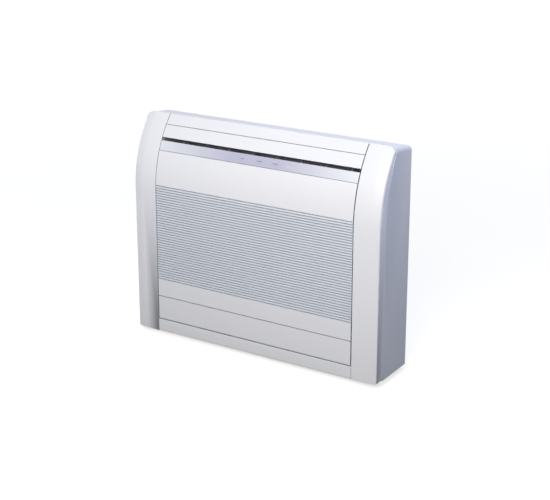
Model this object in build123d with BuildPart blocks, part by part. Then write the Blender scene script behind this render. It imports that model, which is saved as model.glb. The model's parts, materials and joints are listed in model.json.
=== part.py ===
from build123d import *
import os
from math import asin, cos, degrees, hypot, radians, sin, sqrt, tan

# Floor standing air conditioner with an upper and a lower outlet, millimetres.
# X runs along the width, the front faces -Y, Z is up. The origin is at the middle of the
# footprint, on the floor.

os.makedirs("parts", exist_ok=True)


# ---------------------------------------------------------------- driving dimensions

WIDTH = 740.0  # over the two columns
HEIGHT = 600.0  # floor to the ridge of the front
DEPTH = 200.0  # front face to the wall
WALL = 2.5  # moulded plastic wall
SHEET = 1.5  # pressed steel sheet

# the front: upright, then an arc that leans back to the ridge
LEAN_H = 196.0  # height of the part that leans back
FRONT_ARC_R = 300.0
FRAME_Z = 13.0  # underside of the columns and of the bottom rail
COLUMN_W = 74.0
COLUMN_EDGE_R = 5.0
COLUMN_CROWN_R = 60.0
COLUMN_CROWN_W = 24.0  # width of the part of the column's face that falls away
COLUMN_CROWN_DROP = 4.0
COLUMN_BAND_SLANT = 4.5  # how far the side band leans outwards
COLUMN_CORNER_R = 1.5
COLUMN_LOW_R = 12.0  # outer corners of the columns, seen from the front
COLUMN_TOP_R = 26.0
RETURN_DEPTH = 28.0  # columns to the part line with the side cases
PLAN_PAST = 12.0  # the columns' plan runs this far past the part line
PART_TOP_DEPTH = 76.0  # the part line's depth at its top
PART_GAP = 0.6
SEAM = 2.0  # open gap beside the columns
FIT = 0.3  # gap between fixed pieces that lie beside each other
OVERRUN = 1.0  # how far a cut runs past an open side
SINK = 0.5  # how far ribs, lugs and posts are sunk into the wall that carries them

# heights of the front's lower zones, and drops below the ridge of its upper ones
LOWER_GAP_LOW = 46.9
LOWER_FLAP_LOW = 50.2
LOWER_FLAP_HIGH = 113.9
PANEL_LOW = 114.9
GRILLE_LOW = 159.7
GRILLE_PAST_ARC = 19.7
SLOT_PITCH = 6.76
SLOT_H = 3.2
BAR_LOW_DROP = 88.0
BAR_HIGH_DROP = 64.0
UPPER_FLAP_LOW_DROP = 55.7
UPPER_FLAP_HIGH_DROP = 26.0
TOP_PANEL_DROP = 25.3

# side cases and top
SIDE_Z = 16.0
SIDE_INSET = 0.7  # side cases inside the columns' outer edges
CASE_TOP_DROP = 15.0
RIDGE_CAP = 7.0  # depth of the ridge's back slope down to the case's top
CASE_R = 12.0
CASE_GAP = 0.5  # side cases to the end plates
RAIL_LIP = 14.0
RAIL_TOP_R = 1.2
RAIL_LOW_R = 3.0
RIDGE_R = 1.8

# recessed back box and base
BOX_DEPTH = 40.0
BOX_SIDE_INSET = 30.0
BOX_TOP_DROP = 40.0
BOX_Z = 2.0
BOX_RIM_R = 3.0
BEAD_L = 480.0  # stiffening beads of the back wall
BEAD_W = 16.0
BEAD_H = 3.0
BEAD_LOW_Z = 180.0
BEAD_HIGH_DROP = 202.0
PAN_SETBACK = 28.5
PAN_H = 14.0
PAN_GAP = 0.2  # base pan to the end plates
PAN_BEAD_W = 14.0
PAN_BEAD_H = 4.0
PAN_BEAD_GAP = 45.0  # beads to the pan's ends

# end plates
PLATE_GAP = 3.0  # outside the columns' inner flanges
PLATE_T = 2.5
PLATE_INSET = 7.0
PLATE_TOP_GAP = 3.0  # under the rear of the case's top
PLATE_TOP_CUT = 6.0  # cut corner of the plates' rear top
FLANGE_GAP = 2.0  # behind the columns' flanges

# fans
FAN_R = 42.0
FAN_FROM_WALL = 70.0
UPPER_FAN_DROP = 135.0
LOWER_FAN_Z = 117.5
FAN_END_GAP = 15.0
FAN_GAP = 6.0  # blades to the scroll's nearest walls
SCROLL_MID_GAP = 3.0  # the scrolls widen by this behind the fans
UPPER_SCROLL_GAP = 9.0  # and by this where they leave them
LOWER_SCROLL_GAP = 8.0
FAN_SHAFT_R = 4.0
BLADES = 30
BLADE_W = 10.0
BLADE_T = 1.2
BLADE_TURN = 62.0
BLADE_INSET = 0.6
DISC_T = 2.5
DISCS = 9
DISC_W = 11.5  # ring width of the inner discs
SHAFT_PAST_BUSH = 4.0
SHAFT_TO_MOTOR = 23.0
RUN = 0.06  # radial running clearance
MOTOR_R = 34.0
MOTOR_L = 30.0
MOTOR_EDGE_R = 3.0
MOTOR_NOSE_R = 16.0
MOTOR_NOSE_L = 2.5
MOTOR_BORE_GAP = 1.5  # past the end of the fan's shaft

# coil
COIL_DEPTH = 20.0  # its front behind the face
COIL_T = 26.0
COIL_TOP_DROP = 164.0
COIL_LEFT_GAP = 20.0
COIL_RIGHT_GAP = 59.0
COIL_PLATE_T = 2.0
TUBE_R = 3.5
TUBE_PITCH = 20.0
TUBE_RISE = 35.5  # lowest tubes above the drain pan's underside

# drain pan
TRAY_Z = 132.0
TRAY_H = 25.5
TRAY_WALL = 2.0
TRAY_END_GAP = 8.0
TRAY_PAST_COIL = 21.0
TRAY_DEPTH = 12.0
TRAY_D = 40.0
SPOUT_R = 8.0
SPOUT_BORE_R = 6.0
SPOUT_L = 34.0

# filters
FILTER_DEPTH = 9.5
FILTER_T = 3.0
FILTER_BORDER = 6.0
FILTER_TOP_GAP = 4.0  # below the coil's top
FILTER_END_GAP = 1.0

# flaps and their pivots, as a depth behind the face
UPPER_PIVOT_DEPTH = 14.0
LOWER_PIVOT_Z = 105.9
LOWER_PIVOT_DEPTH = 10.0
PANEL_PIVOT_Z = 129.5
PANEL_PIVOT_DEPTH = 6.0
FLAP_SHAFT_R = 2.5
PANEL_PIN_R = 2.0
SHAFT_CLEAR = 1.5  # flap shafts to the holes in the columns' flanges
PIN_CLEAR = 0.8  # panel pins to theirs
EDGE_BEVEL = 2.6
ARM_INSET = 5.0
ARM_T = 2.5
ARM_ROUND = 1.8
UPPER_ARM_INSET = 5.5  # arm's root inside the upper flap's edges
LOWER_ARM_DOWN = 22.0  # arm's root below and above the lower flap's pivot
LOWER_ARM_UP = 3.0
FLAP_MOTOR_R = 12.0
FLAP_MOTOR_L = 14.0
FLAP_MOTOR_OFFSET = 7.0
EAR_T = 1.0  # mounting ears of the flaps' motors
EAR_W = 8.0
EAR_REACH = 6.0
PLUG_D = 6.0  # and their plugs
PLUG_H = 12.0

# vanes of the upper outlet
VANES = 8
VANE_T = 1.6
VANE_BACK = 18.0
VANE_FRONT = 11.0
VANE_LOW = 1.5
VANE_HIGH = 44.0
VANE_PIN_R = 2.0
VANE_PIN_L = 9.5
VANE_PIN_UP = 2.0  # pins' upper ends above the duct's floor
VANE_HUB_L = 8.0
VANE_HUB_WALL = 1.2
VANE_LIFT = 0.6  # hubs above the duct's floor
VANE_CUT = 6.0  # cut front corners
LINK_PIN_LAP = 1.5  # tie bar pins into the vane below and above the slot
LINK_AT = 12.0  # tie bar pins, behind the vanes' own pins
LINK_PIN_R = 1.5
LINK_SLOT_LOW = 9.0
LINK_SLOT_H = 7.0
LINK_SLOT_AHEAD = 4.8
LINK_W = 6.0
LINK_T = 2.4

# ---------------------------------------------------------------- derived places

FRONT_Y = -DEPTH / 2
BACK_Y = DEPTH / 2
CASE_Y = BACK_Y - BOX_DEPTH
HALF_W = WIDTH / 2
SIDE_X = HALF_W - SIDE_INSET
COLUMN_IN = HALF_W - COLUMN_W
PANEL_HALF = COLUMN_IN - SEAM
PLATE_IN = COLUMN_IN + PLATE_GAP
PLATE_OUT = PLATE_IN + PLATE_T
CASE_IN = PLATE_OUT + CASE_GAP  # inner end of the side cases' top and bottom walls
BOX_HALF_W = HALF_W - BOX_SIDE_INSET
PAN_HALF_W = PLATE_IN - PAN_GAP
ARM_OUT = COLUMN_IN - ARM_INSET

ARC_Z = HEIGHT - LEAN_H
ARC_Y = FRONT_Y + FRONT_ARC_R
RIDGE_DEG = degrees(asin((HEIGHT - ARC_Z) / FRONT_ARC_R))
S_RIDGE = radians(RIDGE_DEG) * FRONT_ARC_R
BAR_LOW = HEIGHT - BAR_LOW_DROP
BAR_HIGH = HEIGHT - BAR_HIGH_DROP
UPPER_FLAP_LOW = HEIGHT - UPPER_FLAP_LOW_DROP
UPPER_FLAP_HIGH = HEIGHT - UPPER_FLAP_HIGH_DROP
TOP_PANEL_LOW = HEIGHT - TOP_PANEL_DROP
GRILLE_HIGH = ARC_Z + GRILLE_PAST_ARC
CASE_TOP_REAR = HEIGHT - CASE_TOP_DROP
BOX_TOP = HEIGHT - BOX_TOP_DROP
COLUMN_PLAN_DEPTH = RETURN_DEPTH + PLAN_PAST

FAN_Y = BACK_Y - FAN_FROM_WALL
UPPER_FAN_Z = HEIGHT - UPPER_FAN_DROP
FAN_HALF_L = PLATE_IN - FAN_END_GAP

COIL_LEFT = COIL_LEFT_GAP - PLATE_IN
COIL_RIGHT = PLATE_IN - COIL_RIGHT_GAP
COIL_FRONT = FRONT_Y + COIL_DEPTH
COIL_BACK = COIL_FRONT + COIL_T
COIL_TOP = HEIGHT - COIL_TOP_DROP
TUBE_ROWS = (COIL_FRONT + COIL_T / 4, COIL_FRONT + 3 * COIL_T / 4)
TUBE_Z = TRAY_Z + TUBE_RISE
TUBE_COUNT = 2 * (1 + int((COIL_TOP - TUBE_Z - TUBE_R) / (2 * TUBE_PITCH)))

TRAY_LEFT = TRAY_END_GAP - PLATE_IN
TRAY_RIGHT = COIL_RIGHT + TRAY_PAST_COIL
TRAY_FRONT = FRONT_Y + TRAY_DEPTH
TRAY_BACK = TRAY_FRONT + TRAY_D
TRAY_FLOOR = TRAY_Z + TRAY_WALL

FILTER_FRONT = FRONT_Y + FILTER_DEPTH
FILTER_Z = TRAY_Z + TRAY_H
FILTER_H = COIL_TOP - FILTER_TOP_GAP - FILTER_Z

VANE_PITCH = 2 * PANEL_HALF / (VANES + 1 / 6)


def run_at(z):
    """Length along the face from the foot of the arc to the height z, below it negative."""
    if z <= ARC_Z:
        return z - ARC_Z
    return asin((z - ARC_Z) / FRONT_ARC_R) * FRONT_ARC_R


def face_point(s, depth=0.0):
    """Point (y, z) at the run s and at a depth behind the face."""
    angle = max(s, 0.0) / FRONT_ARC_R
    radius = FRONT_ARC_R - depth
    return (ARC_Y - radius * cos(angle), ARC_Z + radius * sin(angle) + min(s, 0.0))


def face_edges(s1, s2, depth):
    """Edges that follow the face from s1 to s2 at a depth, for an open BuildLine."""
    if s1 < 0:
        Line(face_point(s1, depth), face_point(min(s2, 0.0), depth))
    if s2 > 0:
        start = max(s1, 0.0)
        ThreePointArc(
            face_point(start, depth),
            face_point((start + s2) / 2, depth),
            face_point(s2, depth),
        )


def skin_edges(s1, s2, low_bevel=0.0, high_bevel=0.0):
    """Closed outline of a moulded skin on the face, with bevelled long edges."""
    face_edges(s1, s2, 0.0)
    face_edges(s1 + low_bevel, s2 + high_bevel, WALL)
    Line(face_point(s1), face_point(s1 + low_bevel, WALL))
    Line(face_point(s2), face_point(s2 + high_bevel, WALL))


def face_plane(x, s, depth=0.0):
    """Plane on the face with its normal pointing out and its second axis pointing up."""
    y, z = face_point(s, depth)
    angle = max(s, 0.0) / FRONT_ARC_R
    return Plane(origin=(x, y, z), x_dir=(1, 0, 0), z_dir=(0, -cos(angle), sin(angle)))


def top_z(y):
    """Height of the case's top, which falls from the ridge's back to the rear."""
    y_front, z_front = face_point(S_RIDGE, RIDGE_CAP)
    return z_front + (CASE_TOP_REAR - z_front) * (y - y_front) / (CASE_Y - y_front)


# the part line is upright below ARC_Z, then an arc up to the case's top
PART_Y = FRONT_Y + RETURN_DEPTH
PART_TOP_Z = top_z(FRONT_Y + PART_TOP_DEPTH)
PART_RISE = PART_TOP_Z - ARC_Z
PART_RUN = PART_TOP_DEPTH - RETURN_DEPTH
PART_R = (PART_RUN**2 + PART_RISE**2) / (2 * PART_RUN)


def part_point(z, gap=0.0):
    """Point of the part line between column and side case, moved back by a gap."""
    if z <= ARC_Z:
        return (PART_Y + gap, z)
    radius = PART_R - gap
    return (PART_Y + PART_R - sqrt(radius**2 - (z - ARC_Z) ** 2), z)


def part_edges(z_low, z_high, gap):
    """Edges of the part line, for an open BuildLine."""
    Line(part_point(z_low, gap), part_point(ARC_Z, gap))
    ThreePointArc(
        part_point(ARC_Z, gap),
        part_point((ARC_Z + z_high) / 2, gap),
        part_point(z_high, gap),
    )


S_BAR_LOW = run_at(BAR_LOW)
S_BAR_HIGH = run_at(BAR_HIGH)
S_FLAP_LOW = run_at(UPPER_FLAP_LOW)
S_FLAP_HIGH = run_at(UPPER_FLAP_HIGH)
S_TOP_LOW = run_at(TOP_PANEL_LOW)
UPPER_PIVOT = face_point((S_FLAP_LOW + S_FLAP_HIGH) / 2, UPPER_PIVOT_DEPTH)
LOWER_PIVOT = (FRONT_Y + LOWER_PIVOT_DEPTH, LOWER_PIVOT_Z)
PANEL_PIVOT = (FRONT_Y + PANEL_PIVOT_DEPTH, PANEL_PIVOT_Z)


def at_x(x, point):
    """The place at x of a (y, z) point."""
    return (x, point[0], point[1])


def across(x_low):
    """Sketch plane at x_low whose local axes are Y and Z and whose normal is +X."""
    return Plane.YZ.offset(x_low)


def save(part, name):
    """Label a finished piece and write it."""
    part.label = name
    export_step(part, f"parts/{name}.step")


def save_pair(right_part, name):
    """Write the right-hand piece and its mirror image on the left."""
    save(right_part, f"right_{name}")
    with BuildPart() as left_piece:
        mirror(right_part, about=Plane.YZ)
    save(left_piece.part, f"left_{name}")


# ---------------------------------------------------------------- columns


def column_plan(z, inset):
    """Plan of the right column, closed behind, at the height z."""
    back = FRONT_Y + COLUMN_PLAN_DEPTH
    crown_x = HALF_W - COLUMN_BAND_SLANT
    slope = COLUMN_BAND_SLANT / (RETURN_DEPTH - COLUMN_CROWN_DROP)
    back_x = HALF_W + slope * (COLUMN_PLAN_DEPTH - RETURN_DEPTH)
    with BuildSketch(Plane.XY.offset(z)) as plan:
        with BuildLine():
            FilletPolyline(
                (COLUMN_IN, back),
                (COLUMN_IN, FRONT_Y),
                (crown_x - COLUMN_CROWN_W, FRONT_Y),
                (crown_x, FRONT_Y + COLUMN_CROWN_DROP),
                (back_x, back),
                radius=[COLUMN_CORNER_R, COLUMN_CROWN_R, COLUMN_EDGE_R],
            )
            Line((back_x, back), (COLUMN_IN, back))
        make_face()
        if inset:
            offset(amount=-inset, mode=Mode.REPLACE)
    return plan.sketch


ARC_AXIS = Axis((0, ARC_Y, ARC_Z), (-1, 0, 0))


def column_form(inset):
    """Solid form of the right column, inset from its outer faces by a wall."""
    x_in = COLUMN_IN - OVERRUN
    x_out = HALF_W - inset
    z_low = FRAME_Z + inset
    cap = degrees(inset / FRONT_ARC_R)
    with BuildPart() as form:
        extrude(column_plan(z_low, inset), amount=ARC_Z - z_low)
        revolve(column_plan(ARC_Z, inset), axis=ARC_AXIS, revolution_arc=RIDGE_DEG - cap)
        with BuildSketch(Plane.XZ.offset(-BACK_Y)):
            with BuildLine():
                FilletPolyline(
                    (x_in, z_low),
                    (x_out, z_low),
                    (x_out, HEIGHT - inset),
                    (x_in, HEIGHT - inset),
                    radius=[COLUMN_LOW_R - inset, COLUMN_TOP_R - inset],
                )
                Line((x_in, HEIGHT - inset), (x_in, z_low))
            make_face()
        extrude(amount=DEPTH + OVERRUN, mode=Mode.INTERSECT)
    return form.part


with BuildPart() as right_column:
    add(column_form(0.0))
    add(column_form(WALL), mode=Mode.SUBTRACT)
    # everything behind the part line is open
    with BuildSketch(across(COLUMN_IN - OVERRUN)):
        with BuildLine():
            part_edges(0.0, HEIGHT, 0.0)
            Polyline(part_point(HEIGHT), (CASE_Y, HEIGHT), (CASE_Y, 0), part_point(0))
        make_face()
    extrude(amount=COLUMN_W + 2 * COLUMN_BAND_SLANT, mode=Mode.SUBTRACT)
    # the shafts of the flaps and the pins of the intake panel pass the inner flange
    for pivot, hole_r in (
        (UPPER_PIVOT, FLAP_SHAFT_R + SHAFT_CLEAR),
        (LOWER_PIVOT, FLAP_SHAFT_R + SHAFT_CLEAR),
        (PANEL_PIVOT, PANEL_PIN_R + PIN_CLEAR),
    ):
        with BuildSketch(across(COLUMN_IN - OVERRUN)):
            with Locations(pivot):
                Circle(hole_r)
        extrude(amount=WALL + 2 * OVERRUN, mode=Mode.SUBTRACT)
save_pair(right_column.part, "column")


# ---------------------------------------------------------------- bottom rail and top panel

RAIL_HALF = COLUMN_IN - FIT
PAN_FRONT = FRONT_Y + PAN_SETBACK
with BuildPart() as bottom_rail:
    with BuildSketch(across(-RAIL_HALF)):
        with BuildLine():
            FilletPolyline(
                (FRONT_Y + RAIL_LIP, LOWER_GAP_LOW),
                (FRONT_Y, LOWER_GAP_LOW),
                (FRONT_Y, FRAME_Z),
                (PAN_FRONT - FIT, FRAME_Z),
                radius=[RAIL_TOP_R, RAIL_LOW_R],
            )
            Polyline(
                (FRONT_Y + RAIL_LIP, LOWER_GAP_LOW),
                (FRONT_Y + RAIL_LIP, LOWER_GAP_LOW - WALL),
                (FRONT_Y + WALL, LOWER_GAP_LOW - WALL),
                (FRONT_Y + WALL, FRAME_Z + WALL),
                (PAN_FRONT - FIT, FRAME_Z + WALL),
                (PAN_FRONT - FIT, FRAME_Z),
            )
        make_face()
    extrude(amount=2 * RAIL_HALF)
save(bottom_rail.part, "bottom_rail")

RIDGE_TURN = 10.0  # how far the ridge's back slope runs inwards
with BuildPart() as top_panel:
    with BuildSketch(across(-PANEL_HALF)):
        with BuildLine():
            face_edges(S_TOP_LOW, S_RIDGE, 0.0)
            face_edges(S_TOP_LOW + EDGE_BEVEL, S_RIDGE - WALL, WALL)
            Line(face_point(S_TOP_LOW), face_point(S_TOP_LOW + EDGE_BEVEL, WALL))
            Polyline(
                face_point(S_RIDGE - WALL, WALL),
                face_point(S_RIDGE - WALL, RIDGE_TURN),
                face_point(S_RIDGE, RIDGE_TURN),
                face_point(S_RIDGE),
            )
        make_face()
    extrude(amount=2 * PANEL_HALF)
    ridge = top_panel.edges().filter_by(Axis.X).sort_by(Axis.Z)[-1]
    fillet(ridge, radius=RIDGE_R)
save(top_panel.part, "top_panel")


# ---------------------------------------------------------------- side cases and top cover


def case_block(inset):
    """Solid form of the right side case, inset from its outer faces by a wall."""
    z_low = SIDE_Z + inset
    z_high = PART_TOP_Z - inset
    y_back = CASE_Y - inset
    past = OVERRUN if inset else 0.0
    gap = PART_GAP - past
    with BuildPart() as block:
        with BuildSketch(across(CASE_IN - past)):
            with BuildLine():
                part_edges(z_low, z_high, gap)
                Polyline(
                    part_point(z_high, gap),
                    (y_back, CASE_TOP_REAR - inset),
                    (y_back, z_low),
                    part_point(z_low, gap),
                )
            make_face()
        extrude(amount=SIDE_X - CASE_IN - inset + past)
        outer_face = block.faces().sort_by(Axis.X)[-1]
        top_edge = outer_face.edges().sort_by(Axis.Z)[-1]
        rear_edge = outer_face.edges().sort_by(Axis.Y)[-1]
        rear_top = (
            block.edges()
            .filter_by(Axis.X)
            .filter_by(lambda edge: edge.center().Y > y_back - OVERRUN)
            .sort_by(Axis.Z)[-1]
        )
        fillet([top_edge, rear_edge, rear_top], radius=CASE_R - inset)
    return block.part


KNOCKOUT_R = 26.0
KNOCKOUT_X = HALF_W - 35.0
KNOCKOUT_Y = FRONT_Y + 110.0
BOX_SIDE_GAP = 0.5
BOX_TOP_GAP = 1.0
BACK_OPEN_X = BOX_HALF_W + BOX_SIDE_GAP
BACK_OPEN_D = 5.5  # how far the open back reaches into the top and bottom walls
COVER_DROP_Z = BOX_TOP + BOX_TOP_GAP
with BuildPart() as right_side_case:
    add(case_block(0.0))
    add(case_block(WALL), mode=Mode.SUBTRACT)
    # the back is open where the recessed back box joins on
    with BuildSketch(Plane.XY.offset(0)):
        with Locations(((CASE_IN - OVERRUN + BACK_OPEN_X) / 2, CASE_Y)):
            Rectangle(BACK_OPEN_X - CASE_IN + OVERRUN, 2 * BACK_OPEN_D)
    extrude(amount=COVER_DROP_Z, mode=Mode.SUBTRACT)
    with Locations((KNOCKOUT_X, KNOCKOUT_Y, SIDE_Z)):
        Cylinder(KNOCKOUT_R, 4 * WALL, mode=Mode.SUBTRACT)
save_pair(right_side_case.part, "side_case")

COVER_HALF = CASE_IN - FIT
with BuildPart() as top_cover:
    y_front, z_front = face_point(S_RIDGE, RIDGE_CAP)
    y_under = face_point(S_RIDGE, RIDGE_CAP + WALL / sin(radians(RIDGE_DEG)))[0]
    with BuildSketch(across(-COVER_HALF)):
        with BuildLine():
            FilletPolyline(
                (y_front + FIT, z_front),
                (CASE_Y, CASE_TOP_REAR),
                (CASE_Y, COVER_DROP_Z),
                radius=CASE_R,
            )
            FilletPolyline(
                (y_under + FIT, z_front - WALL),
                (CASE_Y - WALL, CASE_TOP_REAR - WALL),
                (CASE_Y - WALL, COVER_DROP_Z),
                radius=CASE_R - WALL,
            )
            Line((y_front + FIT, z_front), (y_under + FIT, z_front - WALL))
            Line((CASE_Y, COVER_DROP_Z), (CASE_Y - WALL, COVER_DROP_Z))
        make_face()
    extrude(amount=2 * COVER_HALF)
save(top_cover.part, "top_cover")


# ---------------------------------------------------------------- back panel and base pan

SCREW_Z = (40.0, HEIGHT / 2, BOX_TOP - 30.0)
SCREW_SHANK_R = 1.9
SINK_R = 4.0
SINK_SLOPE = tan(radians(41.0))  # half of the countersink's angle
SCREW_SUNK = 0.3  # heads below the panel's surface
SCREW_PLAY = 0.2  # shanks to the panel's holes
SEAT_GAP = 0.02  # between a piece and the hole that it fills
SCREW_HEAD_R = SINK_R - SCREW_SUNK * SINK_SLOPE - SEAT_GAP
SCREW_HEAD_H = (SCREW_HEAD_R - SCREW_SHANK_R) / SINK_SLOPE
SCREW_L = 11.0
SCREW_X = PLATE_IN + PLATE_T / 2
SCREW_BOSS_R = 6.0
SCREW_BOSS_L = 14.0
WALL_HOLE_R = 3.0
WALL_HOLE_X = BOX_HALF_W - 20.0
WALL_HOLE_Z = (60.0, BOX_TOP - 20.0)
BACK_OUT = Plane(origin=(0, BACK_Y, 0), x_dir=(-1, 0, 0), z_dir=(0, 1, 0))
with BuildPart() as back_panel:
    with BuildSketch(Plane.XZ.offset(-BACK_Y)):
        with Locations((0, (BOX_TOP + BOX_Z) / 2)):
            Rectangle(2 * BOX_HALF_W, BOX_TOP - BOX_Z)
    extrude(amount=BACK_Y - CASE_Y)
    rear_rim = back_panel.faces().sort_by(Axis.Y)[-1].edges()
    fillet(rear_rim, radius=BOX_RIM_R)
    with BuildSketch(Plane.XZ.offset(-(BACK_Y - WALL))):
        with Locations((0, (BOX_TOP + BOX_Z) / 2)):
            Rectangle(2 * (BOX_HALF_W - WALL), BOX_TOP - BOX_Z - 2 * WALL)
    extrude(amount=BACK_Y - CASE_Y, mode=Mode.SUBTRACT)
    # the base pan and the end plates close the bottom between the compartments
    with BuildSketch(Plane.XZ.offset(-(BACK_Y - WALL))):
        with Locations((0, BOX_Z)):
            Rectangle(2 * (PLATE_OUT + FIT), 4 * WALL)
    extrude(amount=BACK_Y - CASE_Y, mode=Mode.SUBTRACT)
    with BuildSketch(BACK_OUT):
        with Locations([(x, z) for x in (-WALL_HOLE_X, WALL_HOLE_X) for z in WALL_HOLE_Z]):
            Circle(WALL_HOLE_R)
    extrude(amount=-2 * WALL, mode=Mode.SUBTRACT)
    for screw_x in (-SCREW_X, SCREW_X):
        for screw_z in SCREW_Z:
            with Locations(Plane(origin=(screw_x, BACK_Y, screw_z), z_dir=(0, 1, 0))):
                CounterSinkHole(SCREW_SHANK_R + SCREW_PLAY, SINK_R, depth=2 * WALL)
    # two stiffening beads pressed into the wide wall
    for bead_z in (BEAD_LOW_Z, HEIGHT - BEAD_HIGH_DROP):
        with BuildSketch(Plane.XZ.offset(-(BACK_Y - WALL))):
            with Locations((0, bead_z)):
                SlotOverall(BEAD_L, BEAD_W)
        extrude(amount=BEAD_H)
save(back_panel.part, "back_panel")

PAN_BACK = BACK_Y - WALL - FIT
PAN_MID_Y = (PAN_FRONT + PAN_BACK) / 2
PAN_L = PAN_BACK - PAN_FRONT
with BuildPart() as base_pan:
    with BuildSketch():
        with Locations((0, PAN_MID_Y)):
            Rectangle(2 * PAN_HALF_W, PAN_L)
    extrude(amount=PAN_H)
    with BuildSketch(Plane.XY.offset(SHEET)):
        with Locations((0, PAN_MID_Y)):
            Rectangle(2 * (PAN_HALF_W - SHEET), PAN_L - 2 * SHEET)
    extrude(amount=PAN_H, mode=Mode.SUBTRACT)
    with BuildSketch(Plane.XY.offset(SHEET)):
        with Locations((0, PAN_MID_Y)):
            with GridLocations(0, PAN_L / 3, 1, 3):
                SlotOverall(2 * (PAN_HALF_W - PAN_BEAD_GAP), PAN_BEAD_W)
    extrude(amount=PAN_BEAD_H)
save(base_pan.part, "base_pan")


# ---------------------------------------------------------------- end plates

RIDGE_GAP = 9.0  # end plates below the ridge, along the face
FOOT_GAP = 4.0  # and above the columns' undersides
WINDOW_SHIFT = 2.0  # window behind the drain pan's walls
WINDOW_RISE = 1.0  # and above its rim
WINDOW_FRONT = TRAY_FRONT + WINDOW_SHIFT
WINDOW_BACK = TRAY_BACK + WINDOW_SHIFT
SPOUT_RISE = 1.2
SPOUT_INSET = 12.0
SPOUT_Z = TRAY_Z + SPOUT_R + SPOUT_RISE
SPOUT_Y = TRAY_BACK - SPOUT_INSET
PLATE_BACK = BACK_Y - WALL - FIT
PLATE_STEP_Y = CASE_Y - WALL - FLANGE_GAP
PLATE_TOP_RUN = S_RIDGE - RIDGE_GAP
PLATE_FOOT_Z = FRAME_Z + FOOT_GAP
BUSH_R = 9.0


def end_plate(windowed):
    """Right end plate; the left one has a window for the coil's bends and pipes."""
    with BuildPart() as plate:
        with BuildSketch(across(PLATE_IN)):
            with BuildLine():
                face_edges(run_at(PLATE_FOOT_Z), PLATE_TOP_RUN, PLATE_INSET)
                Polyline(
                    face_point(PLATE_TOP_RUN, PLATE_INSET),
                    (PLATE_STEP_Y - PLATE_TOP_CUT, CASE_TOP_REAR - PLATE_TOP_GAP),
                    (PLATE_STEP_Y, CASE_TOP_REAR - PLATE_TOP_GAP - PLATE_TOP_CUT),
                    (PLATE_STEP_Y, BOX_TOP - WALL - FIT),
                    (PLATE_BACK, BOX_TOP - WALL - FIT),
                    (PLATE_BACK, BOX_Z),
                    (PART_Y + FLANGE_GAP, BOX_Z),
                    (PART_Y + FLANGE_GAP, PLATE_FOOT_Z),
                    face_point(run_at(PLATE_FOOT_Z), PLATE_INSET),
                )
            make_face()
            with Locations((FAN_Y, UPPER_FAN_Z), (FAN_Y, LOWER_FAN_Z)):
                Circle(BUSH_R, mode=Mode.SUBTRACT)
            with Locations(UPPER_PIVOT, LOWER_PIVOT):
                Circle(FLAP_SHAFT_R + RUN, mode=Mode.SUBTRACT)
            with Locations(PANEL_PIVOT):
                Circle(PANEL_PIN_R + RUN, mode=Mode.SUBTRACT)
            if windowed:
                window_low = TRAY_Z + TRAY_H + WINDOW_RISE
                window_mid = (window_low + COIL_TOP) / 2
                with Locations(((WINDOW_FRONT + WINDOW_BACK) / 2, window_mid)):
                    Rectangle(
                        WINDOW_BACK - WINDOW_FRONT,
                        COIL_TOP - window_low,
                        mode=Mode.SUBTRACT,
                    )
                with Locations((SPOUT_Y, SPOUT_Z)):
                    Circle(SPOUT_R + FIT, mode=Mode.SUBTRACT)
        extrude(amount=PLATE_T)
        for boss_z in SCREW_Z:
            with BuildSketch(Plane(origin=(SCREW_X, PLATE_BACK, boss_z), z_dir=(0, -1, 0))):
                Circle(SCREW_BOSS_R)
            extrude(amount=SCREW_BOSS_L)
            with BuildSketch(Plane(origin=(SCREW_X, PLATE_BACK, boss_z), z_dir=(0, -1, 0))):
                Circle(SCREW_SHANK_R + RUN)
            extrude(amount=SCREW_L + OVERRUN, mode=Mode.SUBTRACT)
    return plate.part


save(end_plate(False), "right_end_plate")
with BuildPart() as left_end_plate:
    mirror(end_plate(True), about=Plane.YZ)
save(left_end_plate.part, "left_end_plate")

with BuildPart() as case_screws:
    for screw_x in (-SCREW_X, SCREW_X):
        for screw_z in SCREW_Z:
            head = Plane(origin=(screw_x, BACK_Y - SCREW_SUNK, screw_z), z_dir=(0, -1, 0))
            with BuildSketch(head):
                Circle(SCREW_SHANK_R)
            extrude(amount=SCREW_L)
            with BuildSketch(head):
                Circle(SCREW_HEAD_R)
            with BuildSketch(head.offset(SCREW_HEAD_H)):
                Circle(SCREW_SHANK_R)
            loft()
save(case_screws.part, "case_screws")


# ---------------------------------------------------------------- intake panel

RIB_DEPTH = 8.0  # backs of the ribs behind the face
RIB_T = 2.0
RIB_END_GAP = 3.0
RIB_PITCHES = 8
RIB_PITCH = 2 * (PANEL_HALF - RIB_END_GAP) / RIB_PITCHES
GRILLE_MID = (GRILLE_LOW + GRILLE_HIGH) / 2
SLOT_COUNT = int((GRILLE_HIGH - GRILLE_LOW) / SLOT_PITCH)
SLOT_DEPTH = 3.4
LOUVRE_T = 1.2
LOUVRE_L = 5.6
LOUVRE_DEG = 30.0
LOUVRE_Y = FRONT_Y + 4.0  # middle of the louvres
LOUVRE_RISE = 0.8  # and of their height over the slots' lower edges
LUG_T = 2.5
LUG_PAST = 1.5  # lugs beyond the flaps' arms
LUG_ROUND = 1.2
LUG_LAP = 2.0  # their roots, behind the face
PIN_PAST = 2.0  # pins beyond the end plates
STRIKER_DROP = 12.0
STRIKER_Z = BAR_LOW - STRIKER_DROP
STRIKER_X = 200.0
STRIKER_L = 12.0
STRIKER_W = 8.0
STRIKER_T = 2.0
PANEL_TOP_GAP = 0.8
S_PANEL_HIGH = S_BAR_LOW - PANEL_TOP_GAP


def face_y(z):
    """Depth coordinate of the face at the height z."""
    return face_point(run_at(z))[0]


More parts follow.
